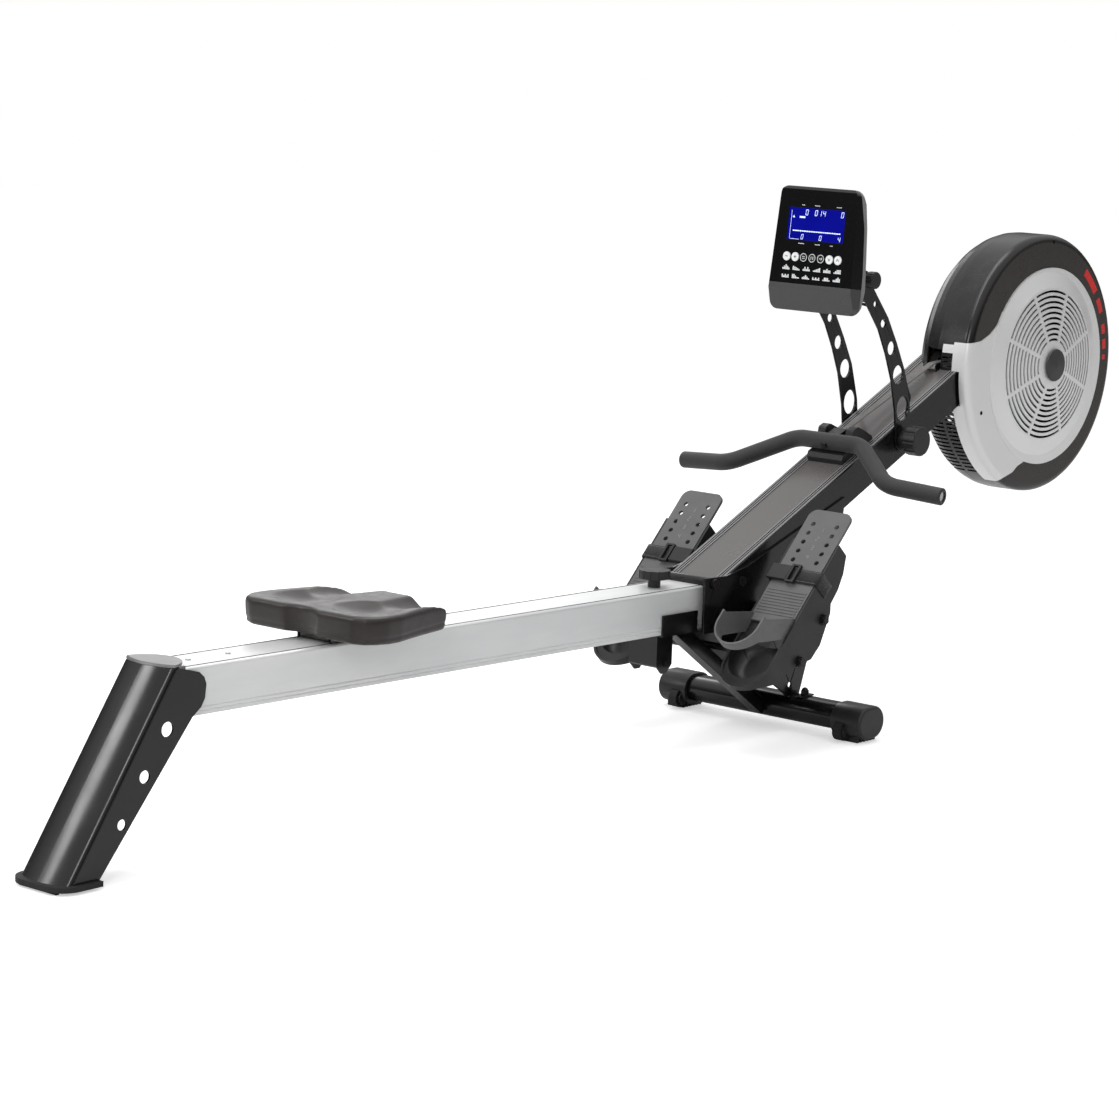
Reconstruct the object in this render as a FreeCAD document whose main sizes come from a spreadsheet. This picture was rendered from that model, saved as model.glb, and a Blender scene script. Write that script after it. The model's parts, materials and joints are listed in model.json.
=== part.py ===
"""Indoor rowing machine: folding slide rail, inclined main beam, air and magnet wheel.

Frame of the model: millimetres, +Z up, +X from the rail towards the wheel, +Y to the
rower's left.  The origin is the centre of the front stabiliser on the floor.
"""
import FreeCAD, Part
import math
import os

import Sketcher

V = FreeCAD.Vector
X_AXIS, Y_AXIS, Z_AXIS = V(1, 0, 0), V(0, 1, 0), V(0, 0, 1)
RIGHT, LEFT = -1, 1

doc = FreeCAD.newDocument("rowing_machine")

# ---------------------------------------------------------------- driving dimensions
DIMENSIONS = {
    # slide rail: an aluminium extrusion that hinges at its front end
    "pivot_x": -237, "pivot_z": 278, "pivot_over_rail": 4, "pivot_bolt_radius": 5,
    "rail_tilt": 0.76, "rail_setback": 9, "rail_length": 1194, "rail_width": 86,
    "rail_height": 72, "rail_wall": 4, "rail_corner": 5,
    "rail_slot_offset": 35, "rail_slot_width": 4, "rail_web": 3, "rail_web_offset": 20,
    "rail_groove_high": 12, "rail_groove_low": 6, "rail_groove_size": 1.2,
    # rear leg: folded sheet channel, open to the front
    "leg_angle": 55.9, "leg_width": 103, "leg_depth": 70, "leg_sheet": 3,
    "leg_top_x": -1452, "leg_top_z": 294, "leg_corner": 10, "leg_hole_step": 75,
    "leg_bow": 115,
    "leg_hole_first": 70, "leg_foot_depth": 69, "leg_neck_depth": 101, "leg_neck_drop": 75.6,
    "foot_pad_height": 12, "foot_pad_overhang": 8,
    # seat and carriage
    "seat_x": -1036, "seat_length": 214, "seat_width": 284, "seat_thick": 43, "seat_base": 11,
    "seat_travel_front": 565, "seat_travel_rear": 220, "roller_radius": 11, "keeper_radius": 8,
    "roller_gap": 0.3, "roller_span": 116, "roller_width": 9, "roller_bore_gap": 0.05,
    "axle_radius": 4, "carriage_sheet": 3, "carriage_web": 2, "carriage_length": 150,
    # main beam
    "beam_angle": 24.9, "beam_x": -222, "beam_z": 277.6, "beam_width": 110, "beam_height": 60,
    "beam_wall": 4, "beam_length": 800, "beam_strip_width": 76, "beam_strip_depth": 1.2,
    "beam_ridge": 3,
    # welded front frame
    "plate_sheet": 4, "saddle_rear": 352, "post_width": 24, "post_depth": 25, "post_wall": 2,
    "post_angle": 35, "lug_half": 30, "lug_sheet": 3, "lug_drop": 66,
    # stabiliser
    "stab_length": 443, "stab_width": 60, "stab_height": 44, "stab_floor": 14, "stab_wall": 2.5,
    "cap_length": 62, "cap_width": 72, "cap_height": 62, "cap_wall": 4,
    "wheel_radius": 16.5, "wheel_width": 16, "wheel_axle_radius": 3, "wheel_gap": 0.05,
    # foot rests
    "foot_angle": 46.2, "foot_x": -44.9, "foot_z": 366.9, "foot_y": 139, "foot_half": 49,
    "foot_wall": 4, "foot_deck": 5.5, "foot_lip": 1, "foot_heel": 337, "foot_top": 34,
    "tongue_half": 44, "tongue_thick": 5, "tongue_top": 30, "tongue_end": 205,
    "hole_pitch": 19.05, "hole_column": 24.6, "hole_radius": 4.4,
    "cup_end": 300, "cup_height": 68, "cup_wall": 3.5,
    "shaft_radius": 6, "shaft_high": 148, "shaft_low": 236, "shaft_drop": 57,
    "strap_width": 28, "strap_thick": 2.5, "strap_place": 108,
    # flywheel and its housing
    "wheel_x": 681, "wheel_z": 587, "seam_y": -16, "shell_radius": 236.4, "shell_wall": 3,
    "right_face": 76, "left_face": 62, "insert_radius": 181, "left_insert_radius": 168,
    "insert_skin": 2.5, "grille_radius": 141, "grille_rise": 14, "hub_rise": 30,
    "hub_radius": 30, "spindle_radius": 8, "fly_radius": 150, "fly_width": 34, "fly_gap": 0.05,
    "reel_radius": 30, "reel_width": 22,
    # handle and strap
    "handle_half": 281, "handle_tube": 11, "handle_wall": 1.8, "handle_gap": 0.2,
    "handle_foam": 15, "clip_width": 26, "pull_width": 15, "pull_thick": 2.4,
    "bar_x": 143, "bar_z": 479, "bend_x": 78, "bend_z": 428, "tip_x": 91, "tip_z": 420,
    "bar_bend": 69, "low_bend": 171, "guide_x": 440, "guide_z": 596, "guide_radius": 4.5,
    "guide_pin": 2, "strap_gap": 0.3,
    # console and its arms
    "arm_pivot_x": 281, "arm_pivot_z": 478, "arm_sheet": 4, "arm_gap": 0.6,
    "arm_bolt_radius": 6, "tilt_bolt_radius": 4, "bolt_gap": 0.05,
    "tilt_x": 148, "tilt_z": 766, "console_tilt": 6.5,
    "panel_x": 68.3, "panel_z": 749.9,
    "panel_high": 168, "panel_half_low": 83, "panel_half_top": 77, "bezel": 5,
    "chin": 40, "button_radius": 7.6, "button_pitch": 18.3, "button_gap": 0.3,
    "button_row": 51.8, "button_out": 1.6, "console_wall": 3, "window_low": 81,
    "window_high": 136.5, "window_half": 60.4, "cable_radius": 2.5,
}


def make_sheet():
    """Put every driving dimension in a spreadsheet cell with its own alias."""
    table = doc.addObject("Spreadsheet::Sheet", "Sizes")
    for row, (alias, number) in enumerate(DIMENSIONS.items(), start=1):
        table.set(f"A{row}", alias)
        table.set(f"B{row}", str(number))
        table.setAlias(f"B{row}", alias)
    doc.recompute()
    return table


sheet = make_sheet()


class Size:
    """A number with the sheet expression that it comes from."""

    def __init__(self, value, text):
        self.value = float(value)
        self.text = text

    def _join(self, other, sign, value, flip=False):
        text = other.text if isinstance(other, Size) else repr(float(other))
        first, second = (text, self.text) if flip else (self.text, text)
        return Size(value, f"({first} {sign} {second})")

    def __add__(self, other):
        return self._join(other, "+", self.value + float(other))

    __radd__ = __add__

    def __sub__(self, other):
        return self._join(other, "-", self.value - float(other))

    def __rsub__(self, other):
        return self._join(other, "-", float(other) - self.value, flip=True)

    def __mul__(self, other):
        return self._join(other, "*", self.value * float(other))

    __rmul__ = __mul__

    def __truediv__(self, other):
        return self._join(other, "/", self.value / float(other))

    def __neg__(self):
        return self * -1

    def __float__(self):
        return self.value


class Table:
    """Reads a dimension of the sheet by its alias."""

    def __getattr__(self, alias):
        return Size(sheet.get(alias), f"Sizes.{alias}")


d = Table()
NODES = {}


def bind(item, prop, size):
    """Tie a property to the sheet, or set it when it is a plain number."""
    if isinstance(size, Size):
        item.setExpression(prop, size.text)
    elif size:
        item.setExpression(prop, repr(float(size)))


def place(item, x=0, y=0, z=0, axis=None, angle=0):
    """Place an item; the three coordinates and the angle follow the sheet."""
    turn = FreeCAD.Rotation(axis or Z_AXIS, float(angle))
    item.Placement = FreeCAD.Placement(V(float(x), float(y), float(z)), turn)
    for prop, size in (("x", x), ("y", y), ("z", z)):
        bind(item, f"Placement.Base.{prop}", size)
    if isinstance(angle, Size):
        bind(item, "Placement.Rotation.Angle", angle)
    return item


def keep(item, label):
    """Name a finished sub-part; its label is the name of its file."""
    item.Label = label
    NODES[label] = item
    return item


# ------------------------------------------------------------------ building helpers
def box(name, length, width, height, x=0, y=0, z=0, axis=None, angle=0):
    """A block whose low corner is at x, y, z."""
    item = doc.addObject("Part::Box", name)
    for prop, size in (("Length", length), ("Width", width), ("Height", height)):
        bind(item, prop, size)
    return place(item, x, y, z, axis, angle)


def rod(name, radius, length, x=0, y=0, z=0, along=Y_AXIS):
    """A cylinder that starts at x, y, z and runs along an axis."""
    item = doc.addObject("Part::Cylinder", name)
    bind(item, "Radius", radius)
    bind(item, "Height", length)
    turn = FreeCAD.Rotation(Z_AXIS, along)
    return place(item, x, y, z, turn.Axis, math.degrees(turn.Angle))


def cross_rod(name, radius, half, x=0, z=0, y=0):
    """A cylinder across the machine, centred on y."""
    return rod(name, radius, half * 2, x, half + y, z, along=-Y_AXIS)


def join(name, items):
    """Fuse the items, or keep solids that don't touch side by side."""
    item = doc.addObject("Part::MultiFuse", name)
    item.Shapes = items
    item.Refine = True
    return item


def group(name, items):
    """Separate solids in one node."""
    item = doc.addObject("Part::Compound", name)
    item.Links = items
    return item


def minus(name, base, tools):
    """Cut the tools out of the base."""
    item = doc.addObject("Part::Cut", name)
    item.Base = base
    item.Tool = tools[0] if len(tools) == 1 else join(name + "_tools", tools)
    return item


def common(name, first, second):
    """What two items share."""
    item = doc.addObject("Part::Common", name)
    item.Base = first
    item.Tool = second
    return item


def feature(name, shape, x=0, y=0, z=0, axis=None, angle=0):
    """A shape made with Part's own functions, placed after it is set."""
    item = doc.addObject("Part::Feature", name)
    item.Shape = shape
    return place(item, x, y, z, axis, angle)


def outline(body, plane, loops, shift=0, name="outline"):
    """Closed loops of straight sides; each corner is tied to the sheet."""
    sketch = body.newObject("Sketcher::SketchObject", name)
    base = [item for item in body.Origin.OriginFeatures if item.Role == plane][0]
    sketch.AttachmentSupport = [(base, "")]
    sketch.MapMode = "FlatFace"
    sketch.AttachmentOffset = FreeCAD.Placement(V(0, 0, float(shift)), FreeCAD.Rotation())
    bind(sketch, "AttachmentOffset.Base.z", shift)
    for loop in loops:
        first = sketch.GeometryCount
        corners = [V(float(a), float(b), 0) for a, b in loop]
        for start, end in zip(corners, corners[1:] + corners[:1]):
            sketch.addGeometry(Part.LineSegment(start, end), False)
        for number in range(len(loop)):
            after = first + (number + 1) % len(loop)
            sketch.addConstraint(Sketcher.Constraint("Coincident", first + number, 2, after, 1))
        for number, corner in enumerate(loop):
            for size, kind, line in zip(corner, ("DistanceX", "DistanceY"), (-2, -1)):
                if abs(float(size)) < 1e-9:
                    rule = Sketcher.Constraint("PointOnObject", first + number, 1, line)
                    sketch.addConstraint(rule)
                    continue
                rule = Sketcher.Constraint(kind, -1, 1, first + number, 1, float(size))
                index = sketch.addConstraint(rule)
                if isinstance(size, Size):
                    sketch.setExpression(f"Constraints[{index}]", size.text)
    return sketch


def prism(name, plane, loops, thick, shift=0):
    """A sketched outline padded to both sides of its plane, which shift moves along its normal."""
    body = doc.addObject("PartDesign::Body", name)
    sketch = outline(body, plane, loops, shift)
    pad = body.newObject("PartDesign::Pad", name + "_pad")
    pad.Profile = sketch
    pad.Midplane = True
    bind(pad, "Length", thick)
    doc.recompute()
    return body


def soften(body, radius, chosen):
    """Round the chosen edges of a body."""
    tip = body.Tip
    names = [f"Edge{i}" for i, edge in enumerate(tip.Shape.Edges, 1) if chosen(edge)]
    fillet = body.newObject("PartDesign::Fillet", body.Name + "_rounding")
    fillet.Base = (tip, names)
    bind(fillet, "Radius", radius)
    doc.recompute()
    return body


def parallel(edge, axis):
    """Whether a straight edge runs along an axis."""
    ends = [vertex.Point for vertex in edge.Vertexes]
    if len(ends) != 2 or edge.Curve.TypeId != "Part::GeomLine":
        return False
    return abs((ends[1] - ends[0]).normalize().dot(axis)) > 0.999


def spun(name, loop, x=0, y=0, z=0):
    """A sketched outline of radius and height turned about the cross axis Y."""
    body = doc.addObject("PartDesign::Body", name)
    sketch = outline(body, "XY_Plane", [loop])
    turn = body.newObject("PartDesign::Revolution", name + "_turn")
    turn.Profile = sketch
    turn.ReferenceAxis = (sketch, ["V_Axis"])
    turn.Angle = 360
    doc.recompute()
    return place(body, x, y, z)


def slab(points, thick, x_dir=X_AXIS, y_dir=Z_AXIS, centre=V(0, 0, 0)):
    """A plain shape: a polygon in two directions, thick to both sides."""
    normal = x_dir.cross(y_dir)
    corners = [centre + x_dir * float(a) + y_dir * float(b) - normal * (float(thick) / 2)
               for a, b in points]
    face = Part.Face(Part.makePolygon(corners + corners[:1]))
    return face.extrude(normal * float(thick))


def rounded_path(points, radii):
    """A wire of straight runs joined by tangent arcs."""
    edges = []
    last = points[0]
    for before, corner, after, radius in zip(points, points[1:], points[2:], radii):
        back = (before - corner).normalize()
        ahead = (after - corner).normalize()
        turn = math.pi - back.getAngle(ahead)
        reach = radius * math.tan(turn / 2)
        start = corner + back * reach
        end = corner + ahead * reach
        middle = (back + ahead).normalize()
        top = corner + middle * (radius / math.cos(turn / 2) - radius)
        edges.append(Part.LineSegment(last, start).toShape())
        edges.append(Part.Arc(start, top, end).toShape())
        last = end
    edges.append(Part.LineSegment(last, points[-1]).toShape())
    return Part.Wire(edges)


def tube_along(path, radius, inner=0):
    """A round bar or tube along a wire."""
    start = path.OrderedVertexes[0].Point
    tangent = path.OrderedEdges[0].tangentAt(path.OrderedEdges[0].FirstParameter)
    rings = [Part.Wire(Part.makeCircle(float(size), start, tangent)) for size in (radius, inner)
             if float(size) > 0]
    solids = [path.makePipeShell([ring], True, False) for ring in rings]
    return solids[0] if len(solids) == 1 else solids[0].cut(solids[1])




# ------------------------------------------------------------------------------- frames
def in_rail_frame(item):
    """Move a piece drawn from the fold pivot, along the rail, to its place."""
    return place(item, d.pivot_x, 0, d.pivot_z, Y_AXIS, d.rail_tilt)


def in_beam_frame(item):
    """Move a piece drawn from the beam's lower top edge, along the beam, to its place."""
    return place(item, d.beam_x, 0, d.beam_z, Y_AXIS, -d.beam_angle)


def beam_point(along, above):
    """The world x and z of a point given along the beam and above its top face."""
    angle = math.radians(float(d.beam_angle))
    x = float(d.beam_x) + along * math.cos(angle) - above * math.sin(angle)
    return x, float(d.beam_z) + along * math.sin(angle) + above * math.cos(angle)


def along_beam(x, z):
    """How far along the beam and above its top face a world point lies."""
    angle = math.radians(float(d.beam_angle))
    run, rise = float(x) - float(d.beam_x), float(z) - float(d.beam_z)
    return run * math.cos(angle) + rise * math.sin(angle), \
        rise * math.cos(angle) - run * math.sin(angle)


def mirrored(points):
    """An outline that is given for its left half and closed by its mirror image."""
    return points + [(-a, b) for a, b in reversed(points)]


# ---------------------------------------------------------------------------- slide rail
RAIL_TOP = -d.pivot_over_rail
RAIL_FLOOR = RAIL_TOP - d.rail_height
RAIL_FRONT = -d.rail_setback
RAIL_REAR = RAIL_FRONT - d.rail_length
SEAT_PLACE = d.seat_x - d.pivot_x
PIN_PLACE = -86
PIN_RADIUS = 6
PIN_GAP = 0.3
PIN_BELOW = 4.3
PIN_SLOT = 5.5


def make_rail():
    """Hollow extrusion: a closed middle box and a slotted channel on each side of it."""
    half, groove = d.rail_width / 2, d.rail_groove_size
    low, high = RAIL_FLOOR + d.rail_groove_low, RAIL_FLOOR + d.rail_groove_high
    slot_in = d.rail_slot_offset - d.rail_slot_width / 2
    slot_out = d.rail_slot_offset + d.rail_slot_width / 2
    web_in, web_out = d.rail_web_offset - d.rail_web / 2, d.rail_web_offset + d.rail_web / 2
    inner_half = half - d.rail_wall
    inner_low, inner_top = RAIL_FLOOR + d.rail_wall, RAIL_TOP - d.rail_wall
    side = [(half, RAIL_FLOOR), (half, low - groove), (half - groove, low), (half, low + groove),
            (half, high - groove), (half - groove, high), (half, high + groove), (half, RAIL_TOP),
            (slot_out, RAIL_TOP), (slot_out, inner_top), (inner_half, inner_top),
            (inner_half, inner_low), (web_out, inner_low), (web_out, inner_top),
            (slot_in, inner_top), (slot_in, RAIL_TOP)]
    inside = mirrored([(web_in, inner_low), (web_in, inner_top)])
    body = prism("rail_body", "YZ_Plane", [mirrored(side), inside], d.rail_length,
                 shift=RAIL_FRONT - d.rail_length / 2)
    top = float(RAIL_TOP)
    soften(body, d.rail_corner, lambda edge: parallel(edge, X_AXIS)
           and abs(edge.BoundBox.ZMax - top) < 0.01
           and abs(abs(edge.BoundBox.YMax) - float(half)) < 0.01)
    hole = rod("rail_pin_hole", PIN_RADIUS + PIN_GAP, d.rail_height * 2, PIN_PLACE, 0,
               RAIL_FLOOR - d.rail_height / 2, along=Z_AXIS)
    keep(in_rail_frame(minus("rail_cut", body, [hole])), "rail")


def make_rail_hinge():
    """Steel plug in the rail's front end with the cross bush that the fold bolt passes."""
    gap, plate = 0.2, 5
    inner_half = d.rail_width / 2 - d.rail_wall - gap
    plug_low = RAIL_FLOOR + d.rail_wall + gap
    plug_high = RAIL_TOP - d.rail_wall - gap
    solid = box("hinge_plug", 40, inner_half * 2, plug_high - plug_low, RAIL_FRONT - 40,
                -inner_half, plug_low)
    slit = d.rail_web + 2 * gap
    slits = [box("hinge_slit", 60, slit, d.rail_height, RAIL_FRONT - 60,
                 d.rail_web_offset * side - slit / 2, RAIL_FLOOR) for side in (RIGHT, LEFT)]
    plug = minus("hinge_plugs", solid, slits)
    face = box("hinge_face", plate, d.rail_width, RAIL_TOP - RAIL_FLOOR + 8, RAIL_FRONT,
               -d.rail_width / 2, RAIL_FLOOR)
    bush_half = d.beam_width / 2 - 0.5
    bush = cross_rod("hinge_bush", d.rail_setback - gap, bush_half)
    bore = cross_rod("hinge_bore", d.pivot_bolt_radius + 0.05, bush_half + 2)
    keep(in_rail_frame(minus("hinge_cut", join("hinge_body", [plug, face, bush]), [bore])),
         "rail_hinge_block")


def make_lock_knob():
    """Pull pin that locks the unfolded rail to its saddle, with a fluted round knob."""
    reach = d.rail_height + PIN_BELOW
    stem_top = RAIL_TOP + 15
    pin = rod("pin_shank", PIN_RADIUS, reach + 15, PIN_PLACE, 0, RAIL_TOP - reach, along=Z_AXIS)
    stem = rod("pin_collar", 10.5, 14.5, PIN_PLACE, 0, RAIL_TOP + 0.5, along=Z_AXIS)
    cap = rod("pin_cap", 26.5, 14, PIN_PLACE, 0, stem_top, along=Z_AXIS)
    flutes = [rod("pin_flute", 3, 16, PIN_PLACE + 28 * math.cos(turn), 28 * math.sin(turn),
                  stem_top - 1, along=Z_AXIS)
              for turn in (math.radians(30 * step) for step in range(12))]
    knob = minus("pin_cap_cut", cap, flutes)
    keep(in_rail_frame(join("lock_pin", [pin, stem, knob])), "lock_knob")


def make_rail_stops():
    """Rubber blocks on the floor of the rail's side channels that end the seat's travel."""
    clear, length, tall = 1, 12, 20
    half = d.rail_width / 2 - d.rail_wall
    y_in = d.rail_web_offset + d.rail_web / 2 + clear
    low = RAIL_FLOOR + d.rail_wall
    front = SEAT_PLACE + d.seat_travel_front + d.carriage_length / 2 + clear
    rear = SEAT_PLACE - d.seat_travel_rear - d.carriage_length / 2 - clear - length
    stops = [box("stop_block", length, half - clear - y_in, tall, x, y, low)
             for x in (front, rear) for y in (y_in, clear - half)]
    keep(in_rail_frame(group("stops", stops)), "rail_stops")


# ------------------------------------------------------------------------------ rear leg
def leg_line(along):
    """A point on the middle of the leg's rear face, along it from the top."""
    angle = math.radians(float(d.leg_angle))
    return (float(d.leg_top_x) - along * math.cos(angle),
            float(d.leg_top_z) - along * math.sin(angle))


EAR = ((17, 13), (24, 25), (26.5, 45), (22.5, 55.5), (12.7, 64), (-6.5, 69.5), (-24, 73))


def leg_shape():
    """Side outline of the leg in x and z: a taper that widens into a rounded ear."""
    angle = math.radians(float(d.leg_angle))
    low, high = float(d.foot_pad_height), float(d.leg_top_z)
    slope = math.cos(angle) / math.sin(angle)
    neck_z = high - float(d.leg_neck_drop)

    def rear(z):
        return float(d.leg_top_x) - (float(d.leg_top_z) - z) * slope

    neck_x = rear(neck_z) + float(d.leg_neck_depth)
    ear = [(neck_x + dx, neck_z + dz) for dx, dz in EAR]
    return [(rear(low), low), (rear(low) + float(d.leg_foot_depth), low),
            (neck_x, neck_z)] + ear + [(rear(high), high)]


def inward():
    """Direction square to the leg's rear face, towards the front."""
    angle = math.radians(float(d.leg_angle))
    return V(math.sin(angle), 0, -math.cos(angle))


def bow(inset=0.0):
    """Long cylinder that gives the rear web its round back, set in by a sheet thickness."""
    top, foot = leg_line(-100), leg_line(500)
    centre = inward() * float(d.leg_bow)
    start = V(foot[0], 0, foot[1]) + centre
    run = V(top[0], 0, top[1]) + centre - start
    return Part.makeCylinder(float(d.leg_bow) - inset, run.Length, start, run)


def bow_fall(half, inset=0.0):
    """How far the round back has fallen away at a given half width."""
    radius = float(d.leg_bow) - inset
    return float(d.leg_bow) - math.sqrt(radius ** 2 - half ** 2)


def make_rear_leg():
    """Folded channel: a bowed rear web, two side plates with three holes each."""
    sheet, half = float(d.leg_sheet), float(d.leg_width) / 2
    outer = slab(leg_shape(), 2 * half).common(bow())
    corners = [edge for edge in outer.Edges if runs_down_leg(edge, bow_fall(half))]
    outer = outer.makeFillet(float(d.leg_corner), corners)
    inner = slab(tall_outline(), 2 * (half - sheet)).common(bow(sheet))
    corners = [edge for edge in inner.Edges if runs_down_leg(edge, bow_fall(half - sheet, sheet))]
    inner = inner.makeFillet(float(d.leg_corner) - sheet, corners)
    shell = outer.cut(inner)
    for number, radius in enumerate((11, 9.5, 8)):
        x, z = leg_line(float(d.leg_hole_first) + number * float(d.leg_hole_step))
        centre = V(x, -100, z) + inward() * (float(d.leg_depth) * 0.72)
        shell = shell.cut(Part.makeCylinder(radius, 200, centre, Y_AXIS))
    keep(feature("leg", shell), "rear_leg")


def runs_down_leg(edge, depth):
    """Whether an edge runs along the leg at a given depth in from its rearmost line."""
    angle = math.radians(float(d.leg_angle))
    if len(edge.Vertexes) != 2:
        return False
    ends = [vertex.Point for vertex in edge.Vertexes]
    run = V(math.cos(angle), 0, math.sin(angle))
    x, z = leg_line(0)
    off = (ends[0] - V(x, 0, z)).dot(inward())
    return abs((ends[1] - ends[0]).normalize().dot(run)) > 0.999 and abs(off - depth) < 0.1


def tall_outline():
    """The leg's side outline run on past its top, foot and open front, to hollow it."""
    angle = math.radians(float(d.leg_angle))
    x, z = leg_line(-60)
    low_x, low_z = leg_line(420)
    return [(low_x, low_z), (low_x + 300, low_z), (x + 300, z), (x, z)]


def make_leg_cap():
    """Plastic plate over the leg's open top and the end of the rail: bowed back, round front."""
    x, z = float(d.leg_top_x), float(d.leg_top_z)
    half = float(d.leg_width) / 2
    straight, thick, skirt, rib_start, rib_length = 7, 4, 12, 27, 12
    top = Part.makeBox(straight, 2 * half, thick, V(x, -half, z))
    top = top.fuse(Part.makeCylinder(half, thick, V(x + straight, 0, z), Z_AXIS))
    top = top.common(Part.makeBox(3 * half, 2 * half, thick, V(x, -half, z))).common(bow())
    rib_out = half - float(d.leg_sheet) - 0.3
    rib_in = float(d.rail_width) / 2 + 0.4
    for side in (RIGHT, LEFT):
        rib = Part.makeBox(rib_length, rib_out - rib_in, skirt,
                           V(x + rib_start, min(side * rib_in, side * rib_out), z - skirt))
        top = top.fuse(rib)
    keep(feature("leg_cap", top.removeSplitter()), "rear_leg_cap")


def make_foot_pad():
    """Rubber foot under the leg: D shaped, with ribs across its underside."""
    x, _ = leg_shape()[0]
    length = float(d.leg_foot_depth) + float(d.foot_pad_overhang)
    half = float(d.leg_width) / 2 + float(d.foot_pad_overhang)
    low, high = 4.0, float(d.foot_pad_height)
    start = x - float(d.foot_pad_overhang)
    pad = Part.makeBox(length, 2 * half, high - low, V(start, -half, low))
    corners = [edge for edge in pad.Edges if parallel(edge, Z_AXIS) and edge.BoundBox.XMax < start + 1]
    pad = pad.makeFillet(34, corners)
    rib, pitch, first = 6, 11, 8
    for number in range(1 + int((length - first - rib) // pitch)):
        corner = V(start + first + pitch * number, -half + 20, 0)
        pad = pad.fuse(Part.makeBox(rib, 2 * half - 40, low + 1, corner))
    keep(feature("foot_pad", pad.removeSplitter()), "rear_foot_pad")


def make_leg_bolts():
    """Spacers between the leg's side plates and the rail, and two screws on the rail's top."""
    pieces = []
    outer = float(d.leg_width) / 2
    inner = float(d.rail_width) / 2
    x, z = rail_world(RAIL_REAR + 22, RAIL_TOP - d.rail_height / 2)
    for offset in (0, 34):
        centre = V(x + offset, 0, z)
        for side in (RIGHT, LEFT):
            reach = Y_AXIS * side
            pieces.append(Part.makeCylinder(9, outer - float(d.leg_sheet) - inner,
                                            centre + reach * inner, reach))
    tilt = math.radians(float(d.rail_tilt))
    upward = V(math.sin(tilt), 0, math.cos(tilt))
    for along in (RAIL_REAR + 76, RAIL_REAR + 154):
        x, z = rail_world(along, RAIL_TOP)
        pieces.append(Part.makeCylinder(4, 1.5, V(x, 0, z), upward))
    keep(feature("leg_bolts", Part.Compound(pieces)), "rear_leg_bolts")


def rail_world(along, above):
    """World x and z of a point given in the rail frame."""
    angle = math.radians(float(d.rail_tilt))
    along, above = float(along), float(above)
    return (float(d.pivot_x) + along * math.cos(angle) + above * math.sin(angle),
            float(d.pivot_z) - along * math.sin(angle) + above * math.cos(angle))


# ------------------------------------------------------------------ seat and its carriage
ROLLER_PLACES = (-d.roller_span / 2, d.roller_span / 2)
ROLLER_HIGH = RAIL_FLOOR + d.rail_wall + d.roller_radius + d.roller_gap
KEEPER_HIGH = RAIL_TOP - d.rail_wall - d.keeper_radius - d.roller_gap
WEB_FACE = d.rail_slot_offset - d.carriage_web / 2
SEAT_PLAN = ((-1.0, 0.06), (-1.0, 0.76), (-0.92, 0.89), (-0.76, 0.97), (-0.6, 1.0), (-0.3, 0.99),
             (0.2, 0.89), (0.6, 0.82), (0.88, 0.77), (0.97, 0.72), (1.0, 0.62), (1.0, 0.25),
             (0.95, 0.08))


def make_seat_pad():
    """Moulded seat: broad at the back, with sitting hollows, thigh valleys and a notch."""
    base = float(RAIL_TOP) + float(d.seat_base)
    length, width, thick = float(d.seat_length), float(d.seat_width), float(d.seat_thick)
    middle = float(SEAT_PLACE)
    corners = [V(middle + a * length / 2, b * width / 2, base) for a, b in SEAT_PLAN]
    corners += [V(corner.x, -corner.y, base) for corner in corners[::-1]]
    pad = Part.Face(Part.makePolygon(corners + corners[:1])).extrude(V(0, 0, thick))
    rim = [edge for edge in pad.Edges if edge.BoundBox.ZMin > base + thick - 0.01]
    pad = pad.makeFillet(7, rim)
    notch = Part.makeCylinder(70, 2 * thick, V(middle - length / 2 - 60, 0, base - thick / 2), Z_AXIS)
    pad = pad.cut(notch)
    for side in (RIGHT, LEFT):
        hollow = V(middle - length * 0.14, side * width * 0.22, base + thick + 120)
        pad = pad.cut(Part.makeSphere(132, hollow))
        start = V(middle - 20, side * width * 0.26, base + thick + 56)
        pad = pad.cut(Part.makeCylinder(60, length, start, V(1, 0, -0.13)))
    keep(in_rail_frame(feature("seat", pad.removeSplitter())), "seat_pad")


def make_carriage():
    """Carriage under the seat: a plate, a slide block and two webs down the rail's slots."""
    sheet_t, web, length = d.carriage_sheet, d.carriage_web, d.carriage_length
    half = WEB_FACE + web
    top_z = RAIL_TOP + d.seat_base - sheet_t
    start = SEAT_PLACE - length / 2
    arm, below, glide = 24, 8, 2.5
    parts = [box("carriage_top", length, half * 2, sheet_t, start, -half, top_z),
             box("carriage_block", length, half * 2 - 12, d.seat_base - sheet_t - glide, start,
                 6 - half, RAIL_TOP + glide)]
    for side in (RIGHT, LEFT):
        y = WEB_FACE if side > 0 else -half
        skirt_z = KEEPER_HIGH - below
        parts.append(box("carriage_web", length, web, top_z - skirt_z, start, y, skirt_z))
        for spot in ROLLER_PLACES:
            parts.append(box("carriage_arm", arm, web, top_z - ROLLER_HIGH + below,
                             SEAT_PLACE + spot - arm / 2, y, ROLLER_HIGH - below))
        for spot, high in ((ROLLER_PLACES[0], ROLLER_HIGH), (ROLLER_PLACES[1], ROLLER_HIGH),
                           (0, KEEPER_HIGH)):
            reach = d.roller_width + 2
            parts.append(rod("roller_pin", d.axle_radius, reach, SEAT_PLACE + spot,
                             WEB_FACE * side, high, along=Y_AXIS * -side))
            parts.append(rod("pin_head", d.axle_radius + 1.5, 1, SEAT_PLACE + spot,
                             (WEB_FACE - reach) * side, high, along=Y_AXIS * side))
    keep(in_rail_frame(join("carriage_body", parts)), "seat_carriage")


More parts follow.
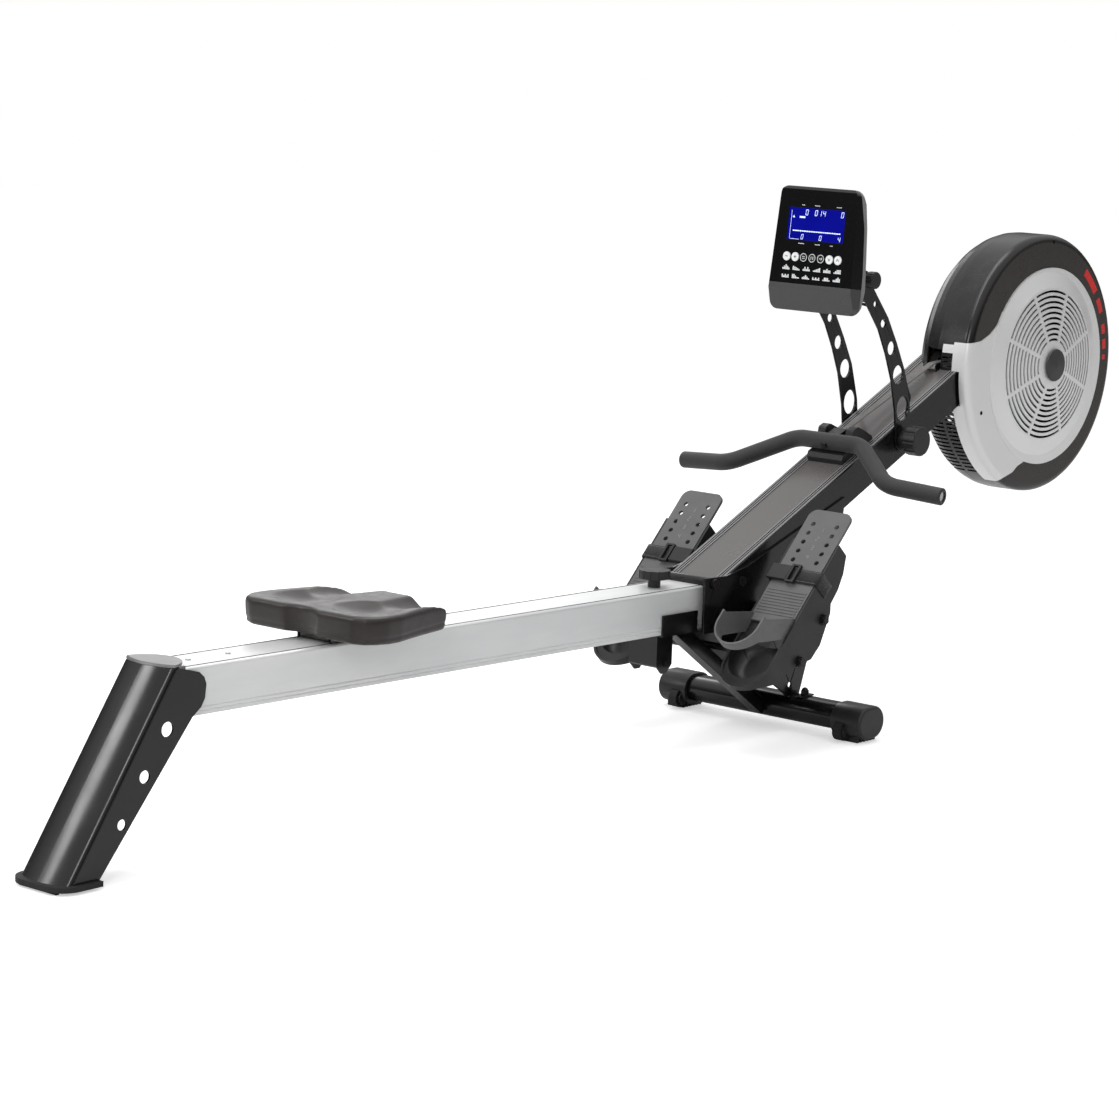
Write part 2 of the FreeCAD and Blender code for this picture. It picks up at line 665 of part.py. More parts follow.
def make_rollers():
    """Nylon rollers in the rail: two pairs on its floor and a keeper pair under its top."""
    bore = d.axle_radius + d.roller_bore_gap
    spots = (("seat_roller_front", ROLLER_PLACES[1], ROLLER_HIGH, d.roller_radius),
             ("seat_roller_rear", ROLLER_PLACES[0], ROLLER_HIGH, d.roller_radius),
             ("seat_roller_keeper", 0, KEEPER_HIGH, d.keeper_radius))
    middle = WEB_FACE - 0.5 - d.roller_width / 2
    for label, spot, height, radius in spots:
        x = SEAT_PLACE + spot
        wheels = [cross_rod(label + "_wheel", radius, d.roller_width / 2, x, height,
                            y=middle * side) for side in (RIGHT, LEFT)]
        hole = cross_rod(label + "_bore", bore, 60, x, height)
        wheelset = minus(label + "_cut", group(label + "_pair", wheels), [hole])
        keep(in_rail_frame(wheelset), label)


# ------------------------------------------------------------------------ main beam
def make_beam():
    """Black extrusion: hollow, with three fine ridges along each top edge and a flat recess."""
    half, ridge = d.beam_width / 2, d.beam_ridge
    strip = d.beam_strip_width / 2
    recess = -d.beam_strip_depth
    side = [(half, -d.beam_height), (half, -2), (half - 2, 0)]
    for step in (1, 2):
        edge = half - 2 - ridge * (step * 1.6)
        side += [(edge, 0), (edge, -1.6), (edge - ridge * 0.6, -1.6), (edge - ridge * 0.6, 0)]
    side += [(strip, 0), (strip, recess)]
    inner = half - d.beam_wall
    inside = mirrored([(inner, -d.beam_height + d.beam_wall), (inner, -d.beam_wall)])
    body = prism("beam_body", "YZ_Plane", [mirrored(side), inside], d.beam_length,
                 shift=d.beam_length / 2)
    x, z = along_beam(d.arm_pivot_x, d.arm_pivot_z)
    bolt = cross_rod("beam_arm_hole", d.arm_bolt_radius + d.bolt_gap, d.beam_width, x, z)
    notch = box("beam_strap_notch", 60, 26, 10, d.beam_length - 50, -13, -9)
    way = rod("beam_cable_hole", d.cable_radius + 0.7, 50, *cable_entry(), along=CABLE_WAY)
    keep(in_beam_frame(minus("beam_cut", body, [bolt, notch, way])), "beam")


CABLE_Y = -46
CABLE_X = 305
CABLE_WAY = V(math.sin(math.radians(float(d.beam_angle))), 0,
              math.cos(math.radians(float(d.beam_angle))))


def cable_entry():
    """Where the upright cable passes the beam's top, a little below it, in the beam's frame."""
    along, above = along_beam(CABLE_X, 500)
    return along, CABLE_Y, above


def make_side_plates():
    """Two steel plates that carry the hinge, the beam and the foot shafts."""
    high = d.pivot_z + 12
    low = d.stab_floor + d.stab_height
    corners = [(d.pivot_x - 25, high), (d.pivot_x + 32, high - 2), (-150, 299), (118, 391),
               (114, 363), (7, low), (-28, low), (-40, low + 10), (-203, 172), (-230, 196),
               (d.pivot_x - 25, 196)]
    y = d.beam_width / 2 + d.plate_sheet / 2
    plates = []
    for name, side in (("plate_right", 1), ("plate_left", -1)):
        body = prism(name, "XZ_Plane", [corners], d.plate_sheet, shift=y * side)
        pivot = cross_rod(name + "_pivot", d.pivot_bolt_radius, 90, d.pivot_x, d.pivot_z)
        shafts = [cross_rod(name + "_shaft", d.shaft_radius, 90, *foot_world(-along, -d.shaft_drop))
                  for along in (d.shaft_high, d.shaft_low)]
        hole = cross_rod(name + "_hole", 5, 90, -20, low + 20)
        plates.append(minus(name + "_cut", body, [pivot, hole] + shafts))
    keep(group("plates", plates), "frame_side_plates")


def foot_world(along, above):
    """World x and z of a point in the foot rest's frame."""
    angle = math.radians(float(d.foot_angle))
    along, above = float(along), float(above)
    return (float(d.foot_x) + along * math.cos(angle) - above * math.sin(angle),
            float(d.foot_z) + along * math.sin(angle) + above * math.cos(angle))


SADDLE_FRONT = -25


def saddle_lug():
    """Small U bracket with rounded ears and a cross bolt under the saddle."""
    top = float(RAIL_FLOOR) - 3.3
    half, sheet_t, drop = float(d.lug_half), float(d.lug_sheet), float(d.lug_drop)
    rear, front = -108, -68
    shape = slab([(rear, top), (front, top), (front, top - drop + 14), (front - 14, top - drop),
                  (rear + 14, top - drop), (rear, top - drop + 14)], 2 * half)
    hollow = Part.makeBox(100, 2 * (half - sheet_t), drop + 10,
                          V(rear + sheet_t, -half + sheet_t, top - drop - 5))
    slot = Part.makeCylinder(PIN_RADIUS + 8, drop, V(PIN_PLACE, 0, top - drop / 2), Z_AXIS)
    body = shape.cut(hollow).cut(slot)
    bolt = Part.makeCylinder(4, 2 * half + 8, V(-82, -half - 4, top - drop + 17), Y_AXIS)
    heads = [Part.makeCylinder(7, 4, V(-82, side * half, top - drop + 17), Y_AXIS * side)
             for side in (RIGHT, LEFT)]
    for piece in [bolt] + heads:
        body = body.fuse(piece)
    return feature("lug", body.removeSplitter())


def make_saddle():
    """Steel trough that the unfolded rail lies in, welded between the side plates."""
    gap, sheet_t = 0.6, 3
    half_in = d.rail_width / 2 + gap
    floor_z = RAIL_FLOOR - 0.3 - sheet_t
    rear = -(d.saddle_rear + d.pivot_x)
    length = SADDLE_FRONT - rear
    floor = box("saddle_floor", length, (half_in + sheet_t) * 2, sheet_t, rear,
                -half_in - sheet_t, floor_z)
    walls = [box("saddle_wall", length, sheet_t, 36, rear, y, floor_z)
             for y in (-half_in - sheet_t, half_in)]
    bridge = box("saddle_bridge", 60, d.beam_width, sheet_t, SADDLE_FRONT, -d.beam_width / 2,
                 floor_z)
    radius = PIN_RADIUS + PIN_GAP
    ends = [rod("saddle_hole", radius, 40, PIN_PLACE - shift, 0, floor_z - 20, along=Z_AXIS)
            for shift in (0, PIN_SLOT)]
    middle = box("saddle_slot", PIN_SLOT, 2 * radius, 40, PIN_PLACE - PIN_SLOT, -radius, floor_z - 20)
    hole = join("saddle_pin_slot", ends + [middle])
    trough = minus("saddle_cut", join("saddle_body", [floor, bridge] + walls), [hole])
    body = join("saddle_with_lug", [trough, saddle_lug()])
    keep(in_rail_frame(body), "rail_saddle")


def make_front_post():
    """Slanting square tube from the stabiliser up to the underside of the saddle."""
    width, depth, wall = d.post_width, d.post_depth, d.post_wall
    half, inner = width / 2, width / 2 - wall
    outer_loop = mirrored([(half, 0), (half, depth)])
    inner_loop = mirrored([(inner, wall), (inner, depth - wall)])
    body = prism("post_body", "YZ_Plane", [outer_loop, inner_loop], 330, shift=165)
    place(body, -304, 0, 209.6, Y_AXIS, d.post_angle)
    stab = obround("post_cope", d.stab_width, d.stab_height, 200, d.stab_floor)
    block = box("post_trim", 400, 200, 200, -200, -100, RAIL_FLOOR - 3.3)
    above = in_rail_frame(group("post_trimming", [block]))
    keep(minus("post_cut", body, [stab, above]), "front_post")


def obround(name, width, height, length, low, y=0):
    """A bar across the machine whose section is a slot: flat top and foot, round sides."""
    radius = height / 2
    reach = width / 2 - radius
    middle = low + radius
    block = box(name + "_block", reach * 2, length, height, -reach, y - length / 2, low)
    ends = [cross_rod(name + "_round", radius, length / 2, x, middle, y=y)
            for x in (-reach, reach)]
    return join(name, [block] + ends)


WHEEL_INSET = 42
AXLE_X, AXLE_Z = -29, 18.5
WHEEL_CLEAR, WHEEL_SIDE = 1, 0.6


def make_stabiliser():
    """Slot shaped steel tube across the front."""
    outer = obround("stab_outer", d.stab_width, d.stab_height, d.stab_length - d.cap_wall * 2,
                    d.stab_floor)
    inner = obround("stab_inner", d.stab_width - d.stab_wall * 2, d.stab_height - d.stab_wall * 2,
                    d.stab_length, d.stab_floor + d.stab_wall)
    pockets = [cross_rod("stab_pocket", d.wheel_radius + WHEEL_CLEAR, d.wheel_width / 2 + WHEEL_SIDE,
                         AXLE_X, AXLE_Z, y=(d.stab_length / 2 - WHEEL_INSET) * side)
               for side in (RIGHT, LEFT)]
    keep(minus("stab_cut", outer, [inner] + pockets), "stabiliser_tube")


def make_stabiliser_caps():
    """End caps with a ribbed foot and a pocket that holds a transport wheel on a pin."""
    caps = []
    length, width, height = float(d.cap_length), float(d.cap_width), float(d.cap_height)
    end = float(d.stab_length) / 2
    for side in (RIGHT, LEFT):
        middle = side * (end - length / 2)
        body = slot_bar(width, height - 6, length, 6, middle)
        rim = [edge for edge in body.Edges if abs(edge.BoundBox.YMin - side * end) < 0.01
               and abs(edge.BoundBox.YMax - side * end) < 0.01]
        body = body.makeFillet(5, rim)
        for number in range(6):
            x = -22 + number * 9
            rib = Part.makeBox(5, length - 26, 12,
                              V(x, min(side * end, side * (end - length)) + 13, 0))
            body = body.fuse(rib)
        tube = slot_bar(float(d.stab_width), float(d.stab_height), length,
                        float(d.stab_floor), side * (end - length / 2 - float(d.cap_wall)))
        body = body.cut(tube)
        half_pocket = float(d.wheel_width) / 2 + WHEEL_SIDE
        pocket_y = side * (end - WHEEL_INSET)
        pocket = Part.makeCylinder(float(d.wheel_radius) + WHEEL_CLEAR, 2 * half_pocket,
                                   V(AXLE_X, pocket_y - half_pocket, AXLE_Z), Y_AXIS)
        for hinge_side in (RIGHT, LEFT):
            y = pocket_y + hinge_side * half_pocket - (0 if hinge_side > 0 else 3.5)
            cheek = Part.makeCylinder(11, 3.5, V(AXLE_X, y, AXLE_Z), Y_AXIS)
            cheek = cheek.fuse(Part.makeBox(16, 3.5, 22, V(AXLE_X, y, AXLE_Z - 11)))
            body = body.fuse(cheek)
        body = body.cut(pocket).cut(tube)
        pin = Part.makeCylinder(float(d.wheel_axle_radius), 2 * half_pocket + 7,
                                V(AXLE_X, pocket_y - half_pocket - 3.5, AXLE_Z), Y_AXIS)
        body = body.fuse(pin)
        caps.append(body.removeSplitter())
    keep(feature("caps", Part.Compound(caps)), "stabiliser_caps")


def slot_bar(width, height, length, low, middle):
    """The plain shape of a slot sectioned bar across the machine."""
    radius = height / 2
    reach = width / 2 - radius
    y = middle - length / 2
    bar = Part.makeBox(2 * reach, length, height, V(-reach, y, low))
    for x in (-reach, reach):
        bar = bar.fuse(Part.makeCylinder(radius, length, V(x, y, low + radius), Y_AXIS))
    return bar.removeSplitter()


def make_transport_wheels():
    """Two rubber wheels that lift clear until the machine is tipped forward."""
    for label, side in (("transport_wheel_right", RIGHT), ("transport_wheel_left", LEFT)):
        y = d.stab_length / 2 * side - WHEEL_INSET * side
        wheel = cross_rod(label + "_tyre", d.wheel_radius, d.wheel_width / 2, AXLE_X,
                          AXLE_Z, y=y)
        bore = cross_rod(label + "_bore", d.wheel_axle_radius + d.wheel_gap, d.wheel_width,
                         AXLE_X, AXLE_Z, y=y)
        keep(minus(label + "_cut", wheel, [bore]), label)


# ------------------------------------------------------------------------- foot rests
def in_foot_frame(item):
    """Move a piece drawn along the foot rest's slope to its place."""
    return place(item, d.foot_x, 0, d.foot_z, Y_AXIS, -d.foot_angle)


def heel_plan(half, heel_end, top_end, low, thick, y):
    """Plan of a sole: straight sides and a round heel, given thickness up from low."""
    start = heel_end + half
    plan = Part.makeBox(top_end - start, 2 * half, thick, V(start, y - half, low))
    return plan.fuse(Part.makeCylinder(half, thick, V(start, y, low), Z_AXIS)).removeSplitter()


def make_foot_base(label, side):
    """Fixed foot rest moulding: deep side walls, a sliding deck and a heel pan."""
    y = side * float(d.foot_y)
    half, wall = float(d.foot_half), float(d.foot_wall)
    deck, lip, pan_low = -float(d.foot_deck), -float(d.foot_lip), -34.0
    heel, top = -float(d.foot_heel), -float(d.foot_top)
    profile = [(top, lip), (top, -29), (top - 26, -45), (-88, -53.5), (-116, -55), (-128, -66),
               (-160, -76), (-182, -83), (-213, -81), (-234, -67.5), (-262, -48), (-292, -40),
               (-322, -18), (heel, -12), (heel, lip)]
    block = slab(profile, 2 * half, centre=V(0, y, 0))
    block = block.common(heel_plan(half, heel, top, -120, 140, y))
    channel = heel_plan(half - wall, heel + wall, top + 50, deck, 40, y)
    pan = heel_plan(half - wall, heel + 5 * wall, -250, pan_low, 80, y)
    pan_edges = [edge for edge in pan.Edges if edge.BoundBox.ZMax < pan_low + 0.1]
    pan = pan.makeFillet(20, pan_edges)
    under = Part.makeBox(top - 12 + 236, 2 * (half - wall), 120,
                         V(-236, y - half + wall, deck - wall - 120))
    block = block.cut(channel).cut(pan).cut(under)
    for along in (-float(d.shaft_high), -float(d.shaft_low)):
        centre = V(along, y - half - 5, -float(d.shaft_drop))
        bore = float(d.shaft_radius) + float(d.bolt_gap)
        block = block.cut(Part.makeCylinder(bore, 2 * half + 10, centre, Y_AXIS))
    keep(in_foot_frame(feature(label + "_shape", block.removeSplitter())), label)


def make_foot_slider(label, side):
    """Sliding sole: a perforated tongue, a ribbed ball of the foot and a heel loop."""
    y = side * float(d.foot_y)
    half, thick = float(d.tongue_half), float(d.tongue_thick)
    wall, height = float(d.cup_wall), float(d.cup_height)
    end, top, heel = -float(d.tongue_end), float(d.tongue_top), -float(d.cup_end)
    sole = Part.makeBox(top - end, 2 * half, thick, V(end, y - half, -thick))
    tips = [edge for edge in sole.Edges if parallel(edge, Z_AXIS) and edge.BoundBox.XMin > top - 1]
    sole = sole.makeFillet(16, tips)
    for row in range(5):
        for column in (RIGHT, LEFT):
            centre = V(-row * float(d.hole_pitch), y + column * float(d.hole_column), -20)
            sole = sole.cut(Part.makeCylinder(float(d.hole_radius), 40, centre, Z_AXIS))
    loop = heel_plan(half, heel, -190, -thick, height + thick, y)
    loop = loop.cut(heel_plan(half - wall, heel + wall, -150, -thick - 1, height + 20, y))
    front = slab([(-190, 0), (-140, 0), (-140, 120), (-236, 120), (-236, height - 8)], 200,
                 centre=V(0, y, 0))
    rear = slab([(-214, -20), (-400, -20), (-400, height - 16), (heel - 2, height - 16),
                 (heel + 26, height - 22)], 200, centre=V(0, y, 0))
    loop = loop.cut(front).cut(rear)
    piece = sole.fuse(loop)
    for number in range(9):
        rib = Part.makeBox(2.6, 2 * half - 8, 1.0, V(-189 + number * 6, y - half + 4, 0))
        piece = piece.fuse(rib)
    keep(in_foot_frame(feature(label + "_shape", piece.removeSplitter())), label)


def make_foot_straps():
    """Webbing over each foot, down both sides of its rest."""
    straps = []
    for side in (RIGHT, LEFT):
        y = side * float(d.foot_y)
        half = float(d.foot_half) + 0.3
        thick, wide = float(d.strap_thick), float(d.strap_width)
        start = -float(d.strap_place) - wide / 2
        high = 1.3
        outer = Part.makeBox(wide, 2 * (half + thick), high + thick + 34,
                             V(start, y - half - thick, -34))
        crown = [edge for edge in outer.Edges if parallel(edge, X_AXIS)
                 and edge.BoundBox.ZMin > high + thick - 0.1]
        outer = outer.makeFillet(5, crown)
        inner = Part.makeBox(wide + 2, 2 * half, high + 60, V(start - 1, y - half, -60))
        inner_top = Part.makeBox(wide + 2, 2 * half - 3, high + 2, V(start - 1, y - half + 1.5, -2))
        straps.append(outer.cut(inner).cut(inner_top))
    keep(in_foot_frame(feature("straps", Part.Compound(straps))), "foot_straps")


def make_strap_buckles():
    """A ring buckle and a padded grip on each foot strap."""
    pieces = []
    for side in (RIGHT, LEFT):
        y = side * float(d.foot_y)
        low = 1.3 + float(d.strap_thick)
        wide = float(d.strap_width)
        start = -float(d.strap_place) - wide / 2
        inward = -side
        ring_y, pad_y = y + inward * 2, y + inward * 32
        ring = Part.makeBox(wide + 8, 18, 6, V(start - 4, ring_y - 9, low))
        window = Part.makeBox(wide + 1, 9, 10, V(start - 0.5, ring_y - 4.5, low - 1))
        pad = Part.makeBox(wide + 2, 40, 5, V(start - 1, pad_y - 20, low))
        pad = pad.makeFillet(2, [edge for edge in pad.Edges if edge.BoundBox.ZMin > low + 4.9])
        pieces += [ring.cut(window), pad]
    keep(in_foot_frame(feature("buckles", Part.Compound(pieces))), "strap_buckles")


def make_foot_shafts():
    """Two round bars through both foot rests and the side plates."""
    half = d.foot_y + d.foot_half + 8
    bars = [cross_rod("foot_shaft", d.shaft_radius, half, *foot_world(-along, -d.shaft_drop))
            for along in (d.shaft_high, d.shaft_low)]
    keep(group("shafts", bars), "foot_shafts")


def collar(centre, axis, outer, inner, length):
    """A plain ring from a centre point along an axis."""
    ring = Part.makeCylinder(float(outer), float(length), centre, axis)
    return ring.cut(Part.makeCylinder(float(inner), float(length), centre, axis))


def hex_nut(centre, axis, across, bore, length, dome=False):
    """A hexagon nut; a dome closes it as an acorn nut."""
    points = [(across / math.sqrt(3) * math.cos(math.radians(60 * step + 30)),
               across / math.sqrt(3) * math.sin(math.radians(60 * step + 30)))
              for step in range(6)]
    corners = [V(a, b, 0) for a, b in points]
    nut = Part.Face(Part.makePolygon(corners + corners[:1])).extrude(V(0, 0, length))
    if bore:
        nut = nut.cut(Part.makeCylinder(bore, length, V(0, 0, 0), Z_AXIS))
    if dome:
        cap = Part.makeSphere(across * 0.45, V(0, 0, length))
        nut = nut.fuse(cap.common(Part.makeBox(40, 40, 40, V(-20, -20, length - 1))))
    turn = FreeCAD.Rotation(Z_AXIS, axis)
    nut.Placement = FreeCAD.Placement(centre, turn)
    return nut


def make_frame_fasteners():
    """Spacers, washers and nuts of the foot shafts, stabiliser bolts, plugs and shell screws."""
    pieces = []
    shaft = float(d.shaft_radius) + float(d.bolt_gap)
    plate_out = float(d.beam_width) / 2 + float(d.plate_sheet)
    inner_face = float(d.foot_y) - float(d.foot_half)
    outer_face = float(d.foot_y) + float(d.foot_half)
    for along in (d.shaft_high, d.shaft_low):
        x, z = foot_world(-along, -d.shaft_drop)
        for side in (RIGHT, LEFT):
            axis = Y_AXIS * side
            pieces.append(collar(V(x, side * plate_out, z), axis, 11, shaft, inner_face - plate_out))
            pieces.append(collar(V(x, side * outer_face, z), axis, 10, shaft, 2))
            pieces.append(hex_nut(V(x, side * (outer_face + 2), z), axis, 15, shaft, 5))
    top = float(d.stab_floor) + float(d.stab_height)
    for side in (RIGHT, LEFT):
        base = V(0, side * (plate_out + 18), top)
        pieces.append(Part.makeBox(34, 14, 2.5, base + V(-17, -7, 0)))
        pieces.append(hex_nut(base + V(0, 0, 2.5), Z_AXIS, 13, 0, 7, dome=True))
        plug = V(-162, side * plate_out, 274)
        pieces.append(Part.makeCylinder(9, 2.5, plug, Y_AXIS * side))
    keep(feature("fasteners", Part.Compound(pieces)), "frame_fasteners")


def make_fold_bolt():
    """Bolt that the rail folds about, with a head and a nut outside the side plates."""
    outer = d.beam_width / 2 + d.plate_sheet
    shank = cross_rod("fold_shank", d.pivot_bolt_radius, outer, d.pivot_x, d.pivot_z)
    heads = [rod("fold_head", 9, 4.5, d.pivot_x, outer * side, d.pivot_z, along=Y_AXIS * side)
             for side in (RIGHT, LEFT)]
    keep(join("fold_body", [shank] + heads), "fold_bolt")


# ------------------------------------------------------------------ wheel and its housing
RIM_ROUND = 14
SHELL_GAP = 0.3


def dish(points, low_y=None):
    """A solid turned about the cross axis from points of radius and y, closed on the axis."""
    corners = [V(radius, y, 0) for radius, y in points]
    face = Part.Face(Part.makePolygon(corners + corners[:1]))
    return face.revolve(V(0, 0, 0), Y_AXIS, 360)


def shell_outline(side, inset=0.0):
    """Radius and y of one housing half from its seam to its axis, pulled in by a wall."""
    radius = float(d.shell_radius) - inset
    seam = float(d.seam_y)
    if side == RIGHT:
        face = -float(d.right_face) + inset
        steps = [(radius, seam), (radius, face + RIM_ROUND)]
        steps += arc_steps(radius - RIM_ROUND, face + RIM_ROUND, RIM_ROUND, -RIM_ROUND)
        steps += [(float(d.insert_radius), face), (0, face)]
        return steps
    face = float(d.left_face) - inset
    wide, shoulder = 78.0, -8.0
    steps = [(radius, seam), (radius, shoulder)]
    steps += arc_steps(radius - wide, shoulder, wide, face - shoulder)
    return steps + [(0, face)]


def arc_steps(centre_r, centre_y, wide, tall, count=8):
    """Points of a quarter ellipse that leaves the rim and ends on the side face."""
    turns = [math.pi / 2 * step / count for step in range(1, count + 1)]
    return [(centre_r + wide * math.cos(turn), centre_y + tall * math.sin(turn)) for turn in turns]


INSERT_X, INSERT_Z = 11, -5
LOBE_PLAN = ((-300, 46), (-229, 51), (-198, 54), (-171, 65), (-150, 80), (-136, 103), (0, 0),
             (-20, -150), (-44, -177), (-66, -184), (-81, -194), (-110, -202), (-140, -230),
             (-300, -200))
LOBE_EDGE, TAB_EDGE = -43, -20


def insert_lobe():
    """Skin over the right shell from the insert's round edge to the rim, with a short tab."""
    lift = float(d.insert_skin)
    closing = [(0, float(d.seam_y))]
    skin = dish(shell_outline(RIGHT, -lift) + closing).cut(dish(shell_outline(RIGHT) + closing))
    disc = Part.makeCylinder(float(d.insert_radius) - 6, 200, V(INSERT_X, 0, INSERT_Z), Y_AXIS * RIGHT)
    skin = skin.cut(disc)
    plan = slab(LOBE_PLAN, 120, centre=V(0, LOBE_EDGE - 60, 0))
    tab = Part.makeBox(90, LOBE_EDGE * -1 + TAB_EDGE + 1, 15, V(-260, LOBE_EDGE - 1, 31))
    return skin.common(plan.fuse(tab))


def beam_notch():
    """The room that the beam and its fork take in the housing shells."""
    half = float(d.beam_width) / 2 + float(d.plate_sheet) + SHELL_GAP
    length = 150
    notch = Part.makeBox(length, 2 * half, float(d.beam_height) + 2 * SHELL_GAP,
                         V(float(d.beam_length) - 110, -half, -float(d.beam_height) - SHELL_GAP))
    strap = Part.makeBox(length, 34, 34, V(float(d.beam_length) - 110, -17, -3))
    notch = notch.fuse(strap)
    turn = FreeCAD.Rotation(Y_AXIS, -float(d.beam_angle))
    shift = V(float(d.beam_x) - float(d.wheel_x), 0, float(d.beam_z) - float(d.wheel_z))
    notch.Placement = FreeCAD.Placement(shift, turn)
    return notch


def rim_vents(side):
    """Level slots through the rim of one shell, below the beam and, on the right, above it."""
    low, high = (-41, -19) if side == RIGHT else (-13, 30)
    pitch, slot, count, first = 7.6, 3.6, 17, -72
    heights = [first - number * pitch for number in range(count)]
    if side == RIGHT:
        heights += [20 - number * pitch for number in range(3)]
    return [Part.makeBox(150, high - low, slot, V(-260, low, z)) for z in heights]


def make_shells():
    """Two moulded halves that meet at the seam; the right one is open under its insert."""
    wall = float(d.shell_wall)
    for label, side in (("housing_shell_right", RIGHT), ("housing_shell_left", LEFT)):
        outer = dish(shell_outline(side) + [(0, float(d.seam_y))])
        inner = dish(shell_outline(side, wall) + [(0, float(d.seam_y))])
        shell = outer.cut(inner)
        window_radius = float(d.grille_radius) + 6
        window = Part.makeCylinder(window_radius, 60, V(0, side * 30, 0), Y_AXIS * side)
        shell = shell.cut(window).cut(beam_notch()).cut(Part.Compound(rim_vents(side)))
        if side == RIGHT:
            shell = shell.fuse(carrier_pin())
        keep(feature(label + "_shape", shell.removeSplitter(), d.wheel_x, 0, d.wheel_z), label)


def make_grilles():
    """Silver side panels with ten rings of slots between eight spokes."""
    for label, side in (("grille_panel_right", RIGHT), ("grille_panel_left", LEFT)):
        face = float(d.right_face if side == RIGHT else d.left_face)
        rise, hub = float(d.grille_rise), float(d.hub_rise)
        edge_r = float(d.insert_radius if side == RIGHT else d.left_insert_radius)
        shift_x, shift_z = (INSERT_X, INSERT_Z) if side == RIGHT else (0, 0)
        sheet_t, skirt = 3.0, edge_r + shift_x
        back = [(0, face + hub - sheet_t), (float(d.grille_radius) + 4, face + rise - sheet_t),
                (edge_r - 22, face), (skirt, face)]
        front = [(skirt, face + sheet_t), (edge_r - 12, face + sheet_t + 1),
                 (float(d.grille_radius), face + rise), (0, face + hub)]
        panel = dish([(radius, side * y) for radius, y in back + front])
        panel = panel.common(Part.makeCylinder(edge_r, 200, V(shift_x, 0, shift_z), Y_AXIS * side))
        rings = []
        inner_r, outer_r = 42.0, float(d.grille_radius) - 2
        pitch = (outer_r - inner_r) / 10
        for number in range(10):
            low = inner_r + number * pitch + pitch * 0.28
            ring = Part.makeCylinder(low + pitch * 0.44, 60, V(0, side * (face - 10), 0), Y_AXIS * side)
            rings.append(ring.cut(Part.makeCylinder(low, 60, V(0, side * (face - 10), 0), Y_AXIS * side)))
        spokes = []
        for number in range(8):
            bar = Part.makeBox(170, 80, 7, V(0, min(0, side * 80) + side * (face - 20), -3.5))
            bar.rotate(V(0, 0, 0), Y_AXIS, 22.5 + 45 * number)
            spokes.append(bar)
        slots = Part.Compound(rings).cut(Part.Compound(spokes))
        panel = panel.cut(slots)
        if side == RIGHT:
            panel = panel.fuse(insert_lobe()).cut(beam_notch())
        bore = Part.makeCylinder(float(d.hub_radius) - 4, 100, V(0, side * 20, 0), Y_AXIS * side)
        keep(feature(label + "_shape", panel.cut(bore), d.wheel_x, 0, d.wheel_z), label)


def make_hub_caps():
    """Dark round caps over the middle of each grille."""
    caps = []
    for side, face in ((RIGHT, d.right_face), (LEFT, d.left_face)):
        top = float(face) + float(d.hub_rise)
        rise = (float(d.hub_rise) - float(d.grille_rise)) / float(d.grille_radius)
        seat = top - rise * (float(d.hub_radius) - 4) * 0.9
        radius = float(d.hub_radius)
        profile = [(0, seat - 4), (radius - 4.3, seat - 4), (radius - 4.3, top + 0.1),
                   (radius, top + 0.1), (radius - 1, top + 2.5), (0, top + 4)]
        caps.append(dish([(r, side * y) for r, y in profile]))
    keep(feature("hub_caps_shape", Part.Compound(caps), d.wheel_x, 0, d.wheel_z), "hub_caps")


def make_fork():
    """Two plates on the beam's end that hold the wheel's spindle and the strap guide."""
    plates = []
    for side in (RIGHT, LEFT):
        y = side * (float(d.beam_width) / 2 + float(d.plate_sheet) / 2)
        start, end = float(d.beam_length) - 60, float(d.beam_length)
        hub_x, hub_z = along_beam(d.wheel_x, d.wheel_z)
        low = -float(d.beam_height)
        shape = slab([(start, low + 4), (end, low + 4), (hub_x - 6, hub_z - 24), (hub_x + 20, hub_z - 16),
                      (hub_x + 20, hub_z + 16), (end + 30, -6), (end, -4), (start, -4)],
                     d.plate_sheet, centre=V(0, y, 0))
        hole = Part.makeCylinder(float(d.spindle_radius), 200, V(hub_x, -100, hub_z), Y_AXIS)
        plate = shape.cut(hole)
        if side == LEFT:
            plate = plate.fuse(recoil_drum(V(hub_x, 0, hub_z))).removeSplitter()
        plates.append(plate)
    keep(in_beam_frame(feature("fork", Part.Compound(plates + [strap_guide()]))), "spindle_fork")


